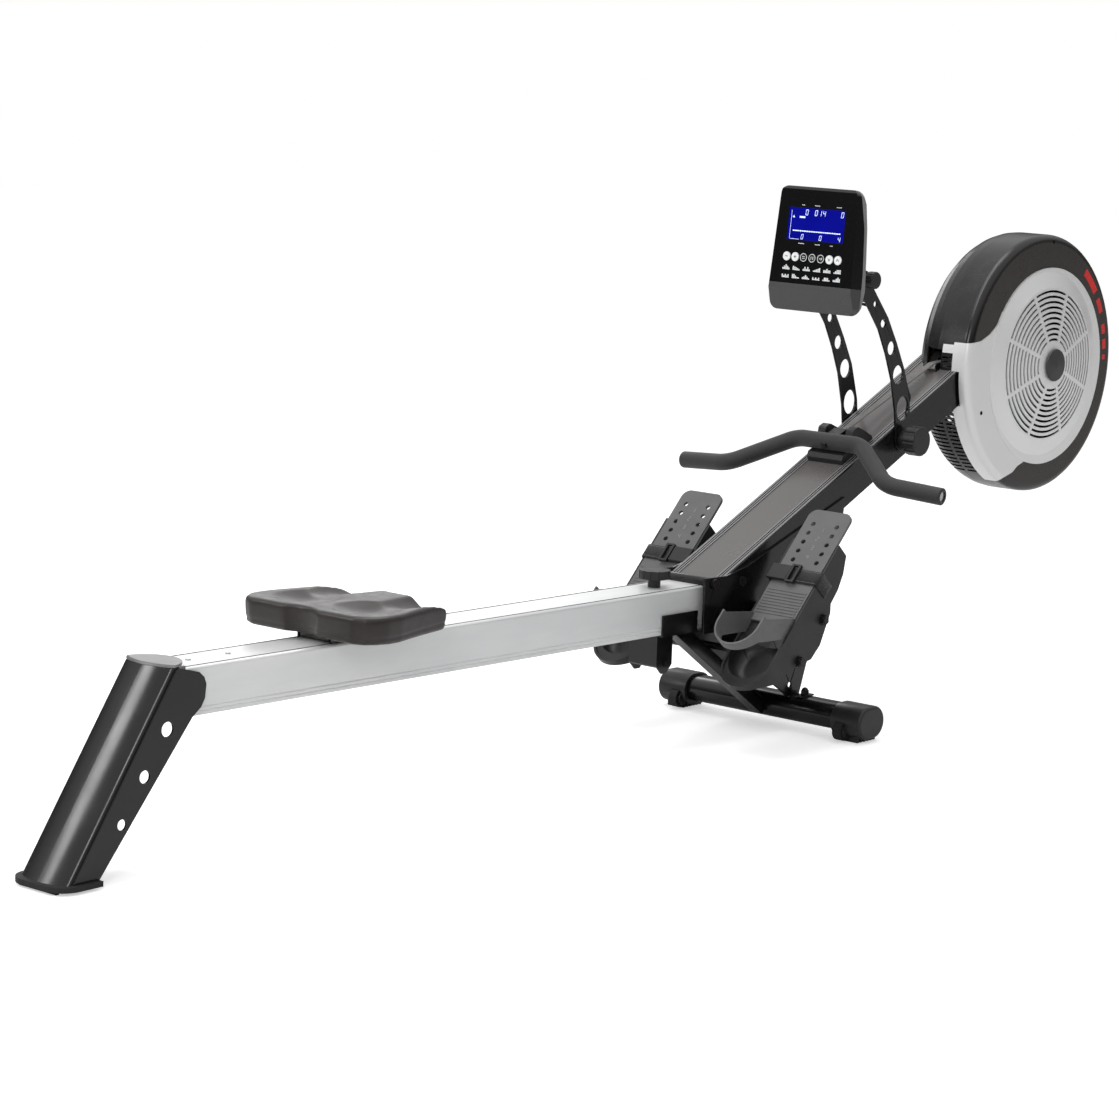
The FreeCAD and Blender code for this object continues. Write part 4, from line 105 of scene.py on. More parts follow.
class Finish:
    """One material: a Principled shader and the textures that feed it."""

    def __init__(self, name, colour, rough, metal=0.0, specular=0.5, coat=0.0, sheen=0.0):
        self.material = bpy.data.materials.new(name)
        self.material.use_nodes = True
        self.nodes = self.material.node_tree.nodes
        self.links = self.material.node_tree.links
        self.shader = self.nodes["Principled BSDF"]
        self.colour, self.rough = colour, rough
        for socket, value in (("Base Color", colour), ("Roughness", rough), ("Metallic", metal),
                              ("Specular IOR Level", specular), ("Coat Weight", coat),
                              ("Coat Roughness", 0.06), ("Sheen Weight", sheen)):
            self.shader.inputs[socket].default_value = value
        self.place = self.nodes.new("ShaderNodeTexCoord").outputs["Object"]
        self.height = None

    def stretched(self, stretch):
        """The object's coordinates, scaled along each axis."""
        mapping = self.nodes.new("ShaderNodeMapping")
        mapping.inputs["Scale"].default_value = stretch
        self.links.new(self.place, mapping.inputs["Vector"])
        return mapping.outputs["Vector"]

    def clouds(self, scale, stretch=(1, 1, 1), detail=4.0, rough=0.55):
        """Soft random mottling, a value from 0 to 1."""
        texture = self.nodes.new("ShaderNodeTexNoise")
        texture.inputs["Scale"].default_value = scale
        texture.inputs["Detail"].default_value = detail
        texture.inputs["Roughness"].default_value = rough
        self.links.new(self.stretched(stretch), texture.inputs["Vector"])
        return texture.outputs["Fac"]

    def cells(self, scale, stretch=(1, 1, 1), feature="F1"):
        """Cell pattern for leather grain and foam."""
        texture = self.nodes.new("ShaderNodeTexVoronoi")
        texture.feature = feature
        texture.inputs["Scale"].default_value = scale
        self.links.new(self.stretched(stretch), texture.inputs["Vector"])
        return texture.outputs["Distance"]

    def remap(self, value, low, high, start=0.0, end=1.0):
        """Spread a value between two limits to a new pair."""
        ranger = self.nodes.new("ShaderNodeMapRange")
        for socket, number in zip(("From Min", "From Max", "To Min", "To Max"), (low, high, start, end)):
            ranger.inputs[socket].default_value = number
        self.links.new(value, ranger.inputs["Value"])
        return ranger.outputs["Result"]

    def tint(self, value, other, low=0.35, high=0.65):
        """Blend the base colour towards another where the value is high."""
        mixer = self.nodes.new("ShaderNodeMix")
        mixer.data_type = "RGBA"
        source = self.shader.inputs["Base Color"]
        if source.links:
            self.links.new(source.links[0].from_socket, mixer.inputs[6])
        else:
            mixer.inputs[6].default_value = self.colour
        mixer.inputs[7].default_value = other
        self.links.new(self.remap(value, low, high), mixer.inputs[0])
        self.links.new(mixer.outputs[2], source)
        return self

    def scuff(self, value, low, high):
        """Let the roughness wander between two numbers."""
        self.links.new(self.remap(value, 0.3, 0.7, low, high), self.shader.inputs["Roughness"])
        return self

    def relief(self, value, depth, strength=1.0):
        """Raise the surface by depth metres where the value is 1."""
        bump = self.nodes.new("ShaderNodeBump")
        bump.inputs["Distance"].default_value = depth
        bump.inputs["Strength"].default_value = strength
        self.links.new(value, bump.inputs["Height"])
        if self.height is not None:
            self.links.new(self.height, bump.inputs["Normal"])
        self.height = bump.outputs["Normal"]
        self.links.new(self.height, self.shader.inputs["Normal"])
        return self

    def math(self, operation, first, second):
        """One arithmetic node; either input may be a plain number."""
        node = self.nodes.new("ShaderNodeMath")
        node.operation = operation
        for socket, value in zip(node.inputs, (first, second)):
            if isinstance(value, (int, float)):
                socket.default_value = value
            else:
                self.links.new(value, socket)
        return node.outputs[0]

    def dot(self, vector, direction):
        """The part of a vector that lies along a direction."""
        node = self.nodes.new("ShaderNodeVectorMath")
        node.operation = "DOT_PRODUCT"
        node.inputs[1].default_value = direction
        self.links.new(vector, node.inputs[0])
        return node.outputs["Value"]

    def along(self, direction):
        """How far the surface lies along a direction, in metres."""
        return self.dot(self.place, direction)

    def facing(self, direction):
        """How squarely the surface faces a direction, from -1 to 1."""
        return self.dot(self.nodes.new("ShaderNodeTexCoord").outputs["Normal"], direction)

    def off_middle(self):
        """How far the surface lies from the machine's middle plane, in metres."""
        return self.math("ABSOLUTE", self.along((0, 1, 0)), 0)

    def between(self, value, low, high):
        """1 where a value lies between two limits."""
        return self.math("MULTIPLY", self.math("GREATER_THAN", value, low),
                         self.math("LESS_THAN", value, high))


FINISHES = {}


def finish_for(slots, finish):
    """Register a finish for one or more of the record's material slots."""
    for slot in slots:
        FINISHES[slot] = finish.material
    return finish


def mottled(name, colour, second, rough, scale, low=0.35, high=0.65, **shader):
    """A finish whose colour wanders between two paints."""
    finish = Finish(name, colour, rough, **shader)
    return finish.tint(finish.clouds(scale), second, low, high)


print("helpers ready")

# %% [markdown]
# ## The sensor cable
# A thin rubber cable leaves the back of the console, sags beside the right arm and enters the top of
# the beam. One smooth spline takes the model's own route as its control points, which gives the easy
# curve of a thin lead, and a round bevel turns it into a cable of 5 mm.

# %% The sensor cable
CABLE_POINTS = [(0.112, -0.046, 0.7325), (0.132, -0.046, 0.727), (0.182, -0.052, 0.718),
                (0.228, -0.0527, 0.687), (0.255, -0.0527, 0.642), (0.281, -0.0525, 0.600),
                (0.299, -0.050, 0.563), (0.314, -0.047, 0.549), (0.305, -0.046, 0.533),
                (0.305, -0.046, 0.506)]
CABLE_WIDTH, CABLE_LENGTH = 0.005, 0.325


def smooth_line(name, points, radius, sides=6):
    """A round cord along one smooth spline."""
    curve = bpy.data.curves.new(name, "CURVE")
    curve.dimensions = "3D"
    spline = curve.splines.new("NURBS")
    spline.points.add(len(points) - 1)
    for control, point in zip(spline.points, points):
        control.co = (*point, 1)
    spline.order_u = 3
    spline.use_endpoint_u = True
    curve.bevel_depth = radius
    curve.bevel_resolution = sides
    curve.resolution_u = 12
    curve.use_fill_caps = True
    return placed(name, curve)


cable = smooth_line("sensor_cable", CABLE_POINTS, CABLE_WIDTH / 2)
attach(cable, "frame")
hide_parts("console_cable")
print("cable from", CABLE_POINTS[0], "to", CABLE_POINTS[-1])

# %% [markdown]
# ## Metal finishes
# The rail is drawn aluminium: fine lines run along it, so the noise is stretched along X, and
# it lifts the roughness a little from line to line. The inside of the extrusion is painted dark as
# painted shade, and a mask by place paints it: below the top skin, above the floor and between the
# side walls. Painted steel is powder coat with a faint orange peel. Plated bolts are bright with small
# cloudy patches.

# %% Metal finishes
rail_metal = finish_for(["rail_aluminium"], Finish("drawn_aluminium", chart(228, 229, 228), 0.36, 0.3))
drawn_lines = rail_metal.clouds(900, stretch=(0.006, 1, 1), detail=3)
rail_metal.scuff(drawn_lines, 0.30, 0.46).relief(drawn_lines, 0.00003, 0.5)
rail_metal.tint(rail_metal.clouds(6, stretch=(0.4, 2, 2)), chart(216, 217, 218))
RAIL_LEAN, RAIL_WALL_INNER = math.radians(0.76), 0.0395
TOP_SKIN, INNER_FLOOR = 0.00015, 0.0685
rail_low, rail_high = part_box("rail")
rail_rear_top = Vector((rail_low.x, 0, rail_high.z))
rail_up = Vector((math.sin(RAIL_LEAN), 0, math.cos(RAIL_LEAN)))
rail_top = rail_rear_top.dot(rail_up)
# The dark inside of the rail is painted shade, for the light that hardly reaches into the extrusion.
painted_shade_height = rail_metal.between(rail_metal.along(rail_up), rail_top - INNER_FLOOR, rail_top - TOP_SKIN)
painted_shade_width = rail_metal.math("LESS_THAN", rail_metal.off_middle(), RAIL_WALL_INNER)
rail_metal.tint(rail_metal.math("MULTIPLY", painted_shade_width, painted_shade_height), chart(20, 20, 21), 0, 1)

coat = finish_for(["black_paint"], Finish("black_powder_coat", chart(13, 13, 14), 0.2, specular=0.42))
coat.scuff(coat.clouds(14), 0.15, 0.25).relief(coat.clouds(520, detail=2), 0.00006, 0.35)
coat.tint(coat.clouds(9), chart(17, 16, 17))

leg_gloss = finish_for(["leg_paint"], Finish("gloss_black_paint", chart(12, 12, 13), 0.2, specular=0.42))
leg_gloss.scuff(leg_gloss.clouds(11), 0.15, 0.26).relief(leg_gloss.clouds(300, detail=2), 0.00004, 0.25)

plated = finish_for(["steel"], Finish("plated_steel", chart(192, 192, 194), 0.24, 1.0))
plated.scuff(plated.clouds(260), 0.18, 0.36).tint(plated.clouds(120), chart(168, 168, 172))

cast = finish_for(["cast_wheel"], Finish("cast_alloy", chart(120, 122, 124), 0.5, 0.9))
cast.scuff(cast.clouds(180), 0.42, 0.62).relief(cast.clouds(700), 0.0001, 0.5)
print("metals", [name for name in FINISHES])

# %% [markdown]
# ## The beam's two tones and a painted highlight
# The beam is black with a satin grey strip let into its top between fine ridges. The tops of the
# ridges are painted light grey as a painted highlight, with a dark groove between each two: the beam's
# black, a touch darker as painted shade. The paint is masked by place and by the way that the surface
# faces: the strip is the part near the middle plane that faces up from the slope. All the tones share
# one shader, so each change is as crisp as a paint edge.

# %% The beam's finish
BEAM_TILT = math.radians(24.9)
STRIP_HALF, TOP_FACING = 0.0376, 0.9
GROOVES = ((0.0036, 0.0058), (0.0086, 0.0108))

beam_coat = finish_for(["beam_paint"], Finish("beam_two_tone_painted_highlight", chart(20, 19, 20), 0.26, specular=0.4))
sideways = beam_coat.off_middle()
beam_up = (-math.sin(BEAM_TILT), 0, math.cos(BEAM_TILT))
upward = beam_coat.math("GREATER_THAN", beam_coat.facing(beam_up), TOP_FACING)
# Every upward face is first painted light grey as a painted highlight. It stays on the ridge tops once the
# strip and the grooves are laid over it.
beam_coat.tint(upward, chart(122, 121, 122), 0, 1)
strip = beam_coat.math("MULTIPLY", beam_coat.math("LESS_THAN", sideways, STRIP_HALF), upward)
beam_coat.tint(strip, chart(96, 93, 92), 0, 1)
# The grooves go back to black, a touch darker than the beam as painted shade in the recess.
grooves = [beam_coat.between(sideways, STRIP_HALF + near, STRIP_HALF + far) for near, far in GROOVES]
beam_coat.tint(beam_coat.math("ADD", *grooves), chart(14, 13, 14), 0, 1)
beam_coat.scuff(beam_coat.clouds(12), 0.2, 0.3)
beam_coat.relief(beam_coat.clouds(900, detail=2), 0.00006, 0.35)
print("strip is", STRIP_HALF * 2000, "mm wide")

# %% [markdown]
# ## Plastic and rubber finishes
# Moulded parts carry a fine spark texture, which is a high, shallow noise. Gloss shells have less of
# it and a smoother roughness; their flat sides are painted a shade lighter as painted light, and a dark
# seam runs round them, both masked in the one shader. Rubber is duller.

# %% Plastic and rubber finishes
def moulded(slots, name, colour, second, rough, grain=1400, depth=0.00008, specular=0.4, coat=0.0):
    """Injection-moulded plastic with a spark texture."""
    finish = finish_for(slots, Finish(name, colour, rough, specular=specular, coat=coat))
    finish.tint(finish.clouds(18), second, 0.3, 0.8)
    finish.scuff(finish.clouds(35), rough - 0.05, rough + 0.07)
    finish.relief(finish.clouds(grain, detail=1.5), depth, 0.55)
    return finish


moulded(["dark_plastic"], "dark_moulding", chart(34, 33, 35), chart(42, 41, 43), 0.38, specular=0.35)
moulded(["grey_plastic"], "grey_moulding", chart(122, 121, 121), chart(134, 132, 132), 0.5)
shell_skin = moulded(["housing_plastic"], "gloss_charcoal", chart(18, 18, 19), chart(21, 20, 21), 0.24,
                     grain=500, depth=0.00002, specular=0.45)
SIDE_FACING, SEAM_PLACE, SEAM_HALF = 0.97, 0.016, 0.0006
side_on = shell_skin.math("ABSOLUTE", shell_skin.facing((0, 1, 0)), 0)
# The flat sides are painted lighter and browner: painted light, for the light that falls on them.
shell_skin.tint(shell_skin.math("GREATER_THAN", side_on, SIDE_FACING), chart(44, 39, 36), 0, 1)
off_seam = shell_skin.math("ABSOLUTE", shell_skin.math("ADD", shell_skin.along((0, 1, 0)), SEAM_PLACE), 0)
shell_skin.tint(shell_skin.math("LESS_THAN", off_seam, SEAM_HALF), chart(3, 3, 3), 0, 1)
moulded(["key_white"], "white_key", chart(236, 237, 238), chart(224, 226, 228), 0.3, grain=900)
moulded(["key_dark"], "black_key", chart(24, 24, 25), chart(30, 30, 31), 0.28, grain=900)
moulded(["nylon"], "nylon", chart(208, 206, 198), chart(196, 194, 186), 0.42)
moulded(["black_rubber"], "black_rubber", chart(30, 30, 31), chart(38, 37, 38), 0.62, grain=1100,
        depth=0.00012, specular=0.3)

silver = finish_for(["silver_plastic"], Finish("silver_paint", chart(236, 236, 234), 0.3, 0.2, coat=0.2))
silver.tint(silver.cells(5200), chart(224, 225, 225), 0.2, 0.7)
silver.scuff(silver.clouds(24), 0.28, 0.4).relief(silver.clouds(1600, detail=1), 0.00003, 0.35)
print("plastics ready:", len(FINISHES), "slots")

# %% [markdown]
# ## Woven finishes
# Webbing is two crossed sets of threads. A checker decides which thread lies on top, and a wave across
# that thread gives its round back. The pattern reads the strap's own UV map, which is laid out in
# metres, so the threads follow the strap round its bends.

# %% Woven finishes
def woven(slots, name, colour, second, thread=0.0016, depth=0.0003):
    """Webbing whose threads cross at a right angle."""
    finish = finish_for(slots, Finish(name, colour, 0.75, specular=0.25, sheen=0.25))
    layout = finish.nodes.new("ShaderNodeUVMap").outputs["UV"]
    order = finish.nodes.new("ShaderNodeTexChecker")
    order.inputs["Scale"].default_value = 1 / thread
    finish.links.new(layout, order.inputs["Vector"])
    backs = []
    for direction in ("X", "Y"):
        wave = finish.nodes.new("ShaderNodeTexWave")
        wave.bands_direction = direction
        wave.inputs["Scale"].default_value = 1 / thread / 2
        wave.inputs["Distortion"].default_value = 0.4
        finish.links.new(layout, wave.inputs["Vector"])
        backs.append(wave.outputs["Fac"])
    crossing = finish.nodes.new("ShaderNodeMix")
    finish.links.new(order.outputs["Fac"], crossing.inputs[0])
    finish.links.new(backs[0], crossing.inputs[2])
    finish.links.new(backs[1], crossing.inputs[3])
    finish.tint(crossing.outputs[0], second, 0.1, 0.9)
    finish.tint(finish.clouds(60), second, 0.45, 0.9)
    return finish.relief(crossing.outputs[0], depth, 0.8)


woven(["webbing"], "black_webbing", chart(28, 28, 29), chart(16, 16, 17))
woven(["pull_webbing"], "grey_webbing", chart(128, 124, 123), chart(96, 93, 92), thread=0.0014)
print("woven finishes ready")

# %% [markdown]
# ## Foam and moulded skin
# The handle foam is a dense closed-cell sleeve with tiny pores. The seat is moulded urethane with a
# soft skin: a fine leather grain that makes the light roll softly over it. Cells for the grain, noise
# for the pores.

# %% Foam and skin finishes
foam_skin = finish_for(["grip_foam"], Finish("grip_foam", chart(52, 51, 51), 0.6, specular=0.3, sheen=0.1))
foam_skin.tint(foam_skin.clouds(900, detail=2), chart(42, 41, 41), 0.45, 0.75)
foam_skin.relief(foam_skin.cells(1300), 0.00025, 0.4).relief(foam_skin.clouds(120), 0.0004, 0.3)

seat_skin = finish_for(["seat_pad"], Finish("seat_skin", chart(38, 32, 31), 0.36, specular=0.42, sheen=0.05))
seat_skin.tint(seat_skin.clouds(22), chart(44, 38, 36), 0.4, 0.8)
seat_skin.scuff(seat_skin.clouds(40), 0.32, 0.44)
seat_skin.relief(seat_skin.cells(520, feature="DISTANCE_TO_EDGE"), 0.0002, 0.45)
seat_skin.relief(seat_skin.clouds(1200, detail=2), 0.00008, 0.5)

lens = finish_for(["display_glass"], Finish("backlit_lens", chart(2, 5, 90), 0.22, specular=0.06))
glow = lens.clouds(14, stretch=(1, 1, 1.6), detail=1)
lens.tint(glow, chart(4, 9, 112), 0.3, 0.8)
lens.shader.inputs["Emission Color"].default_value = chart(2, 8, 180)
lens.shader.inputs["Emission Strength"].default_value = 0.33
print("soft finishes and the lens ready")

# %% [markdown]
# ## Dress the model's pieces
# The record names a material slot for each node, so one loop gives every hard piece its finish. A few
# pieces have a shade of their own: blackened bolts, three greys, and the console's front, whose chin
# is satin under a glossy black panel. The imported meshes have knife-sharp edges, which real parts
# never have: a weld and a narrow bevel on the larger pieces catch the light along each edge.

# %% Dress the model's pieces
EDGE_ROUND = {"rail": 0.0003, "rear_leg_cap": 0.0008, "frame_side_plates": 0.0007,
              "rail_saddle": 0.0007, "front_post": 0.0012, "stabiliser_tube": 0.0008,
              "rail_hinge_block": 0.0008, "seat_carriage": 0.0005, "rear_foot_pad": 0.001,
              "handle_rest": 0.0007, "console_arms": 0.0007, "stabiliser_caps": 0.0007,
              "beam": 0.0004, "console_front": 0.0008, "console_back": 0.0008,
              "strap_buckles": 0.0006, "spindle_fork": 0.0006}
black_oxide = Finish("black_oxide", chart(40, 37, 37), 0.3, 0.6)
black_oxide.scuff(black_oxide.clouds(300), 0.22, 0.4)
sole_grey = mottled("sole_grey", chart(92, 91, 92), chart(100, 99, 100), 0.4, 20, 0.35, 0.75, specular=0.45)
sole_grey.scuff(sole_grey.clouds(45), 0.34, 0.48).relief(sole_grey.clouds(1300, detail=1.5), 0.00008, 0.5)
cap_grey = mottled("cap_grey", chart(98, 97, 98), chart(112, 111, 112), 0.34, 30)
cap_grey.relief(cap_grey.clouds(1300), 0.00006, 0.5)
hub_grey = mottled("hub_grey", chart(50, 48, 48), chart(58, 56, 56), 0.4, 40)
hub_grey.relief(hub_grey.clouds(1300), 0.00006, 0.5)

PANEL_PLACE, PANEL_LEAN = Vector((0.0683, 0, 0.7499)), math.radians(6.5)
console_up = Vector((math.sin(PANEL_LEAN), 0, math.cos(PANEL_LEAN)))
CHIN_TOP = PANEL_PLACE.dot(console_up) + 0.006
panel_black = Finish("panel_black", chart(62, 61, 62), 0.3, specular=0.5)
above_chin = panel_black.math("GREATER_THAN", panel_black.along(console_up), CHIN_TOP)
panel_black.tint(above_chin, chart(9, 9, 10), 0, 1)
panel_black.tint(panel_black.clouds(300), chart(14, 14, 15), 0.6, 0.9)
panel_black.links.new(panel_black.remap(above_chin, 0, 1, 0.42, 0.1), panel_black.shader.inputs["Roughness"])
panel_black.relief(panel_black.clouds(900, detail=1), 0.00002, 0.3)
OWN_FINISH = {"frame_fasteners": black_oxide, "fold_bolt": black_oxide, "foot_shafts": black_oxide,
              "foot_slider_right": sole_grey, "foot_slider_left": sole_grey, "hub_caps": hub_grey,
              "rear_leg_cap": cap_grey, "console_front": panel_black}
slot_of = {row["node"]: row["material_slot"] for row in frame["record"]["subparts"]}


WELD_GAP = 0.00002


def welded(item):
    """Join the split corners of an imported mesh with a modifier."""
    item.modifiers.new("weld", "WELD").merge_threshold = WELD_GAP


def round_edges(item, width, sharp=38):
    """Weld split corners and round every edge sharper than the angle, without touching the mesh."""
    welded(item)
    bevel = item.modifiers.new("edge", "BEVEL")
    bevel.width, bevel.segments = width, 2
    bevel.limit_method, bevel.angle_limit = "ANGLE", math.radians(sharp)
    bevel.use_clamp_overlap = True


for node, item in frame["nodes"].items():
    item.data.materials.clear()
    own = OWN_FINISH.get(node)
    item.data.materials.append(own.material if own else FINISHES[slot_of[node]])
    if node in EDGE_ROUND:
        round_edges(item, EDGE_ROUND[node])
cable.data.materials.append(FINISHES["black_rubber"])
CLIP_SPAN = 0.1
fittings = frame["nodes"]["handle_fittings"].data
fittings.materials.append(black_oxide.material)
for face in fittings.polygons:
    face.material_index = int(abs(face.center.y) < CLIP_SPAN)
print(len(frame["nodes"]), "pieces dressed,", len(EDGE_ROUND), "with rounded edges")

# %% [markdown]
# ## Helpers for new pieces
# A new piece is a mesh that rides on one of the model's bodies, takes a slot and a finish. These few
# lines do that in one place, so each later cell only has to shape its piece.

# %% Helpers for new pieces
def new_piece(name, mesh, body, slot, finish=None, smooth=True):
    """Link a mesh as a piece of the machine."""
    mesh.name = name
    item = placed(name, mesh)
    mesh.materials.clear()
    mesh.materials.append(finish or FINISHES[slot])
    if smooth:
        mesh.shade_smooth()
    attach(item, body)
    return item


def applied(item):
    """The item's mesh with its modifiers applied."""
    bpy.context.view_layer.update()
    solid = item.evaluated_get(bpy.context.evaluated_depsgraph_get())
    mesh = bpy.data.meshes.new_from_object(solid)
    item.modifiers.clear()
    item.data = mesh
    return mesh


def closed_mesh(shape, name):
    """A mesh from a shape in bmesh, with every face turned outward."""
    bmesh.ops.recalc_face_normals(shape, faces=shape.faces)
    mesh = bpy.data.meshes.new(name)
    shape.to_mesh(mesh)
    shape.free()
    return mesh


def from_node(node, voxel, smoothing, rounds):
    """A fine, even, softened mesh in the shape of a model piece."""
    mesh = frame["nodes"][node].data.copy()
    item = placed(node + "_work", mesh)
    welded(item)
    remesh = item.modifiers.new("even", "REMESH")
    remesh.mode, remesh.voxel_size = "VOXEL", voxel
    soft = item.modifiers.new("soft", "SMOOTH")
    soft.factor, soft.iterations = smoothing, rounds
    mesh = applied(item)
    bpy.data.objects.remove(item)
    return mesh


print("helpers for pieces ready")

# %% [markdown]
# ## The seat
# A rowing seat is one block of urethane foam under a moulded skin, broad at the back with two sitting
# hollows and a valley for each thigh. The model's solid has those shapes with hard creases. An even
# remesh and some smoothing melt them together as a mould does. Then each point moves a little: the
# base edge tucks in, one shallow fold runs round the side low down, and the top ripples faintly.

# %% The seat
SEAT_VOXEL, SEAT_SOFTNESS, SEAT_SMOOTH_ROUNDS = 0.0026, 0.5, 24
BASE_TUCK, FOLD_DEPTH, FOLD_HEIGHT, FOLD_WIDTH = 0.0035, 0.0011, 0.012, 0.0022
RIPPLE, RIPPLES_PER_METRE, BASE_CLEAR = 0.0007, 24, 0.0002
seat_low, seat_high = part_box("seat_pad")
seat_middle = (seat_low + seat_high) / 2
seat_mesh = from_node("seat_pad", SEAT_VOXEL, SEAT_SOFTNESS, SEAT_SMOOTH_ROUNDS)
for point in seat_mesh.vertices:
    x, y, z = point.co
    lift = (z - seat_low.z) / (seat_high.z - seat_low.z)
    outward = Vector((x - seat_middle.x, y - seat_middle.y, 0)).normalized()
    tuck = BASE_TUCK * (1 - lift) ** 2
    fold = FOLD_DEPTH * math.exp(-((z - seat_low.z - FOLD_HEIGHT) / FOLD_WIDTH) ** 2)
    ripple = RIPPLE * noise.noise(Vector((x, y, z)) * RIPPLES_PER_METRE)
    point.co -= outward * (tuck + fold)
    point.co.z += ripple * lift
    point.co.z = min(max(point.co.z, seat_low.z + BASE_CLEAR), seat_high.z)
seat = new_piece("moulded_seat", seat_mesh, "seat", "seat_pad")
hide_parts("seat_pad")
print("seat points:", len(seat_mesh.vertices))

# %% [markdown]
# ## The foam on the handle
# A tube of dense foam is slid over the bent bar. A Bezier curve with a round bevel is the natural tool
# for a bent tube: one point at each end of every bend, with handles a little over half the arc's
# radius long. The sleeve's ends roll inward, and the surface wanders by a tenth of a millimetre, as
# foam does.

# %% The foam on the handle
HALF_GRIP = ((0.091, 0.281, 0.420), (0.078, 0.171, 0.428), (0.143, 0.069, 0.479))
GRIP_CORNERS = [Vector(spot) for spot in HALF_GRIP] + [Vector((x, -y, z)) for x, y, z in HALF_GRIP[::-1]]
GRIP_BENDS = (0.060, 0.050, 0.050, 0.060)
GRIP_RADIUS, GRIP_END, FOAM_WANDER = 0.0149, 0.0012, 0.0001


def grip_curve():
    """The bent centre line of the sleeve as a Bezier curve."""
    curve = bpy.data.curves.new("grip_line", "CURVE")
    curve.dimensions = "3D"
    spots = [(GRIP_CORNERS[0], None, None)]
    for corner, before, after, radius in zip(GRIP_CORNERS[1:], GRIP_CORNERS, GRIP_CORNERS[2:], GRIP_BENDS):
        into, out = (before - corner).normalized(), (after - corner).normalized()
        turn = math.pi - into.angle(out)
        reach = radius * math.tan(turn / 2)
        pull = radius * 4 / 3 * math.tan(turn / 4)
        spots.append((corner + into * reach, into, pull))
        spots.append((corner + out * reach, out, pull))
    spots.append((GRIP_CORNERS[-1], None, None))
    spline = curve.splines.new("BEZIER")
    spline.bezier_points.add(len(spots) - 1)
    for number, (knot, (spot, away, pull)) in enumerate(zip(spline.bezier_points, spots)):
        knot.handle_left_type = knot.handle_right_type = "FREE"
        knot.co = spot
        before, after = spots[max(number - 1, 0)][0], spots[min(number + 1, len(spots) - 1)][0]
        knot.handle_left = spot + (before - spot) / 3
        knot.handle_right = spot + (after - spot) / 3
        if away is not None:
            if number % 2:
                knot.handle_right = spot - away * pull
            else:
                knot.handle_left = spot - away * pull
    curve.bevel_depth, curve.bevel_resolution = GRIP_RADIUS, 10
    curve.resolution_u = 24
    return curve


grip_item = placed("grip_work", grip_curve())
bpy.context.view_layer.update()
grip_mesh = bpy.data.meshes.new_from_object(grip_item.evaluated_get(bpy.context.evaluated_depsgraph_get()))
bpy.data.objects.remove(grip_item)
shape = bmesh.new()
shape.from_mesh(grip_mesh)
for end in (GRIP_CORNERS[0], GRIP_CORNERS[-1]):
    middle = GRIP_CORNERS[1] if end is GRIP_CORNERS[0] else GRIP_CORNERS[-2]
    inward = (middle - end).normalized()
    edges = [edge for edge in shape.edges if edge.is_boundary and (edge.verts[0].co - end).length < 0.03]
    for shrink in (0.93, 0.80):
        grown = bmesh.ops.extrude_edge_only(shape, edges=edges)["geom"]
        points = [item for item in grown if isinstance(item, bmesh.types.BMVert)]
        edges = [item for item in grown if isinstance(item, bmesh.types.BMEdge)]
        for point in points:
            point.co = end + (point.co - end) * shrink
    for point in shape.verts:
        if (point.co - end).length < GRIP_RADIUS * 1.02:
            rim = (point.co - end).length / GRIP_RADIUS
            point.co += inward * GRIP_END * (1.0 if rim > 0.97 else 0.25 if rim > 0.85 else 0.5)
bmesh.ops.recalc_face_normals(shape, faces=shape.faces)
shape.normal_update()
for point in shape.verts:
    point.co += point.normal * FOAM_WANDER * noise.noise(point.co * 55)
shape.to_mesh(grip_mesh)
shape.free()
grip = new_piece("handle_grip", grip_mesh, "handle", "grip_foam")
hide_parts("handle_foam")
print("grip points:", len(grip_mesh.vertices))

# %% [markdown]
# ## Straps
# Webbing is modelled as a ribbon: a thin section carried along a line of points, with rounded
# selvedges so that it never ends in a knife edge. The ribbon keeps a UV map in metres for the weave.

# %% A ribbon builder
def ribbon(line, across, width, thick, turn=Matrix.Identity(4)):
    """A flat strap along the line; across is the direction of its width."""
    half, edge = width / 2, thick * 0.45
    section = [(-half, 0), (-half + edge, thick / 2), (-half * 0.5, thick * 0.46), (0, thick / 2),
               (half * 0.5, thick * 0.46), (half - edge, thick / 2), (half, 0),
               (half - edge, -thick / 2), (-half + edge, -thick / 2)]
    shape = bmesh.new()
    layout = shape.loops.layers.uv.new("UVMap")
    rings, travel, where = [], 0.0, []
    for index, point in enumerate(line):
        before, after = line[max(index - 1, 0)], line[min(index + 1, len(line) - 1)]
        run = (after - before).normalized()
        above = run.cross(across).normalized()
        if index:
            travel += (point - line[index - 1]).length
        where.append(travel)
        rings.append([shape.verts.new(turn @ (point + across * a + above * b)) for a, b in section])
    count = len(section)
    for index in range(len(rings) - 1):
        for side in range(count):
            other = (side + 1) % count
            face = shape.faces.new((rings[index][side], rings[index][other], rings[index + 1][other],
                                    rings[index + 1][side]))
            spots = ((side, index), (other, index), (other, index + 1), (side, index + 1))
            for loop, (place, ring) in zip(face.loops, spots):
                loop[layout].uv = (section[place][0], where[ring])
    for ring in (rings[0], rings[-1]):
        shape.faces.new(ring)
    return closed_mesh(shape, "ribbon")


def divided(corners, step):
    """Points along straight runs, one every step or less."""
    points = [corners[0]]
    for first, second in zip(corners, corners[1:]):
        count = max(1, math.ceil((second - first).length / step))
        points += [first.lerp(second, number / count) for number in range(1, count + 1)]
    return points


print("ribbon builder ready")

# %% [markdown]
# ## The foot straps
# Each foot strap lies over the sliding sole and goes down both sides of the rest. It is drawn in the
# sole's own tilted frame and turned into place, so the numbers stay easy to read. A row of stitches
# runs beside each selvedge.

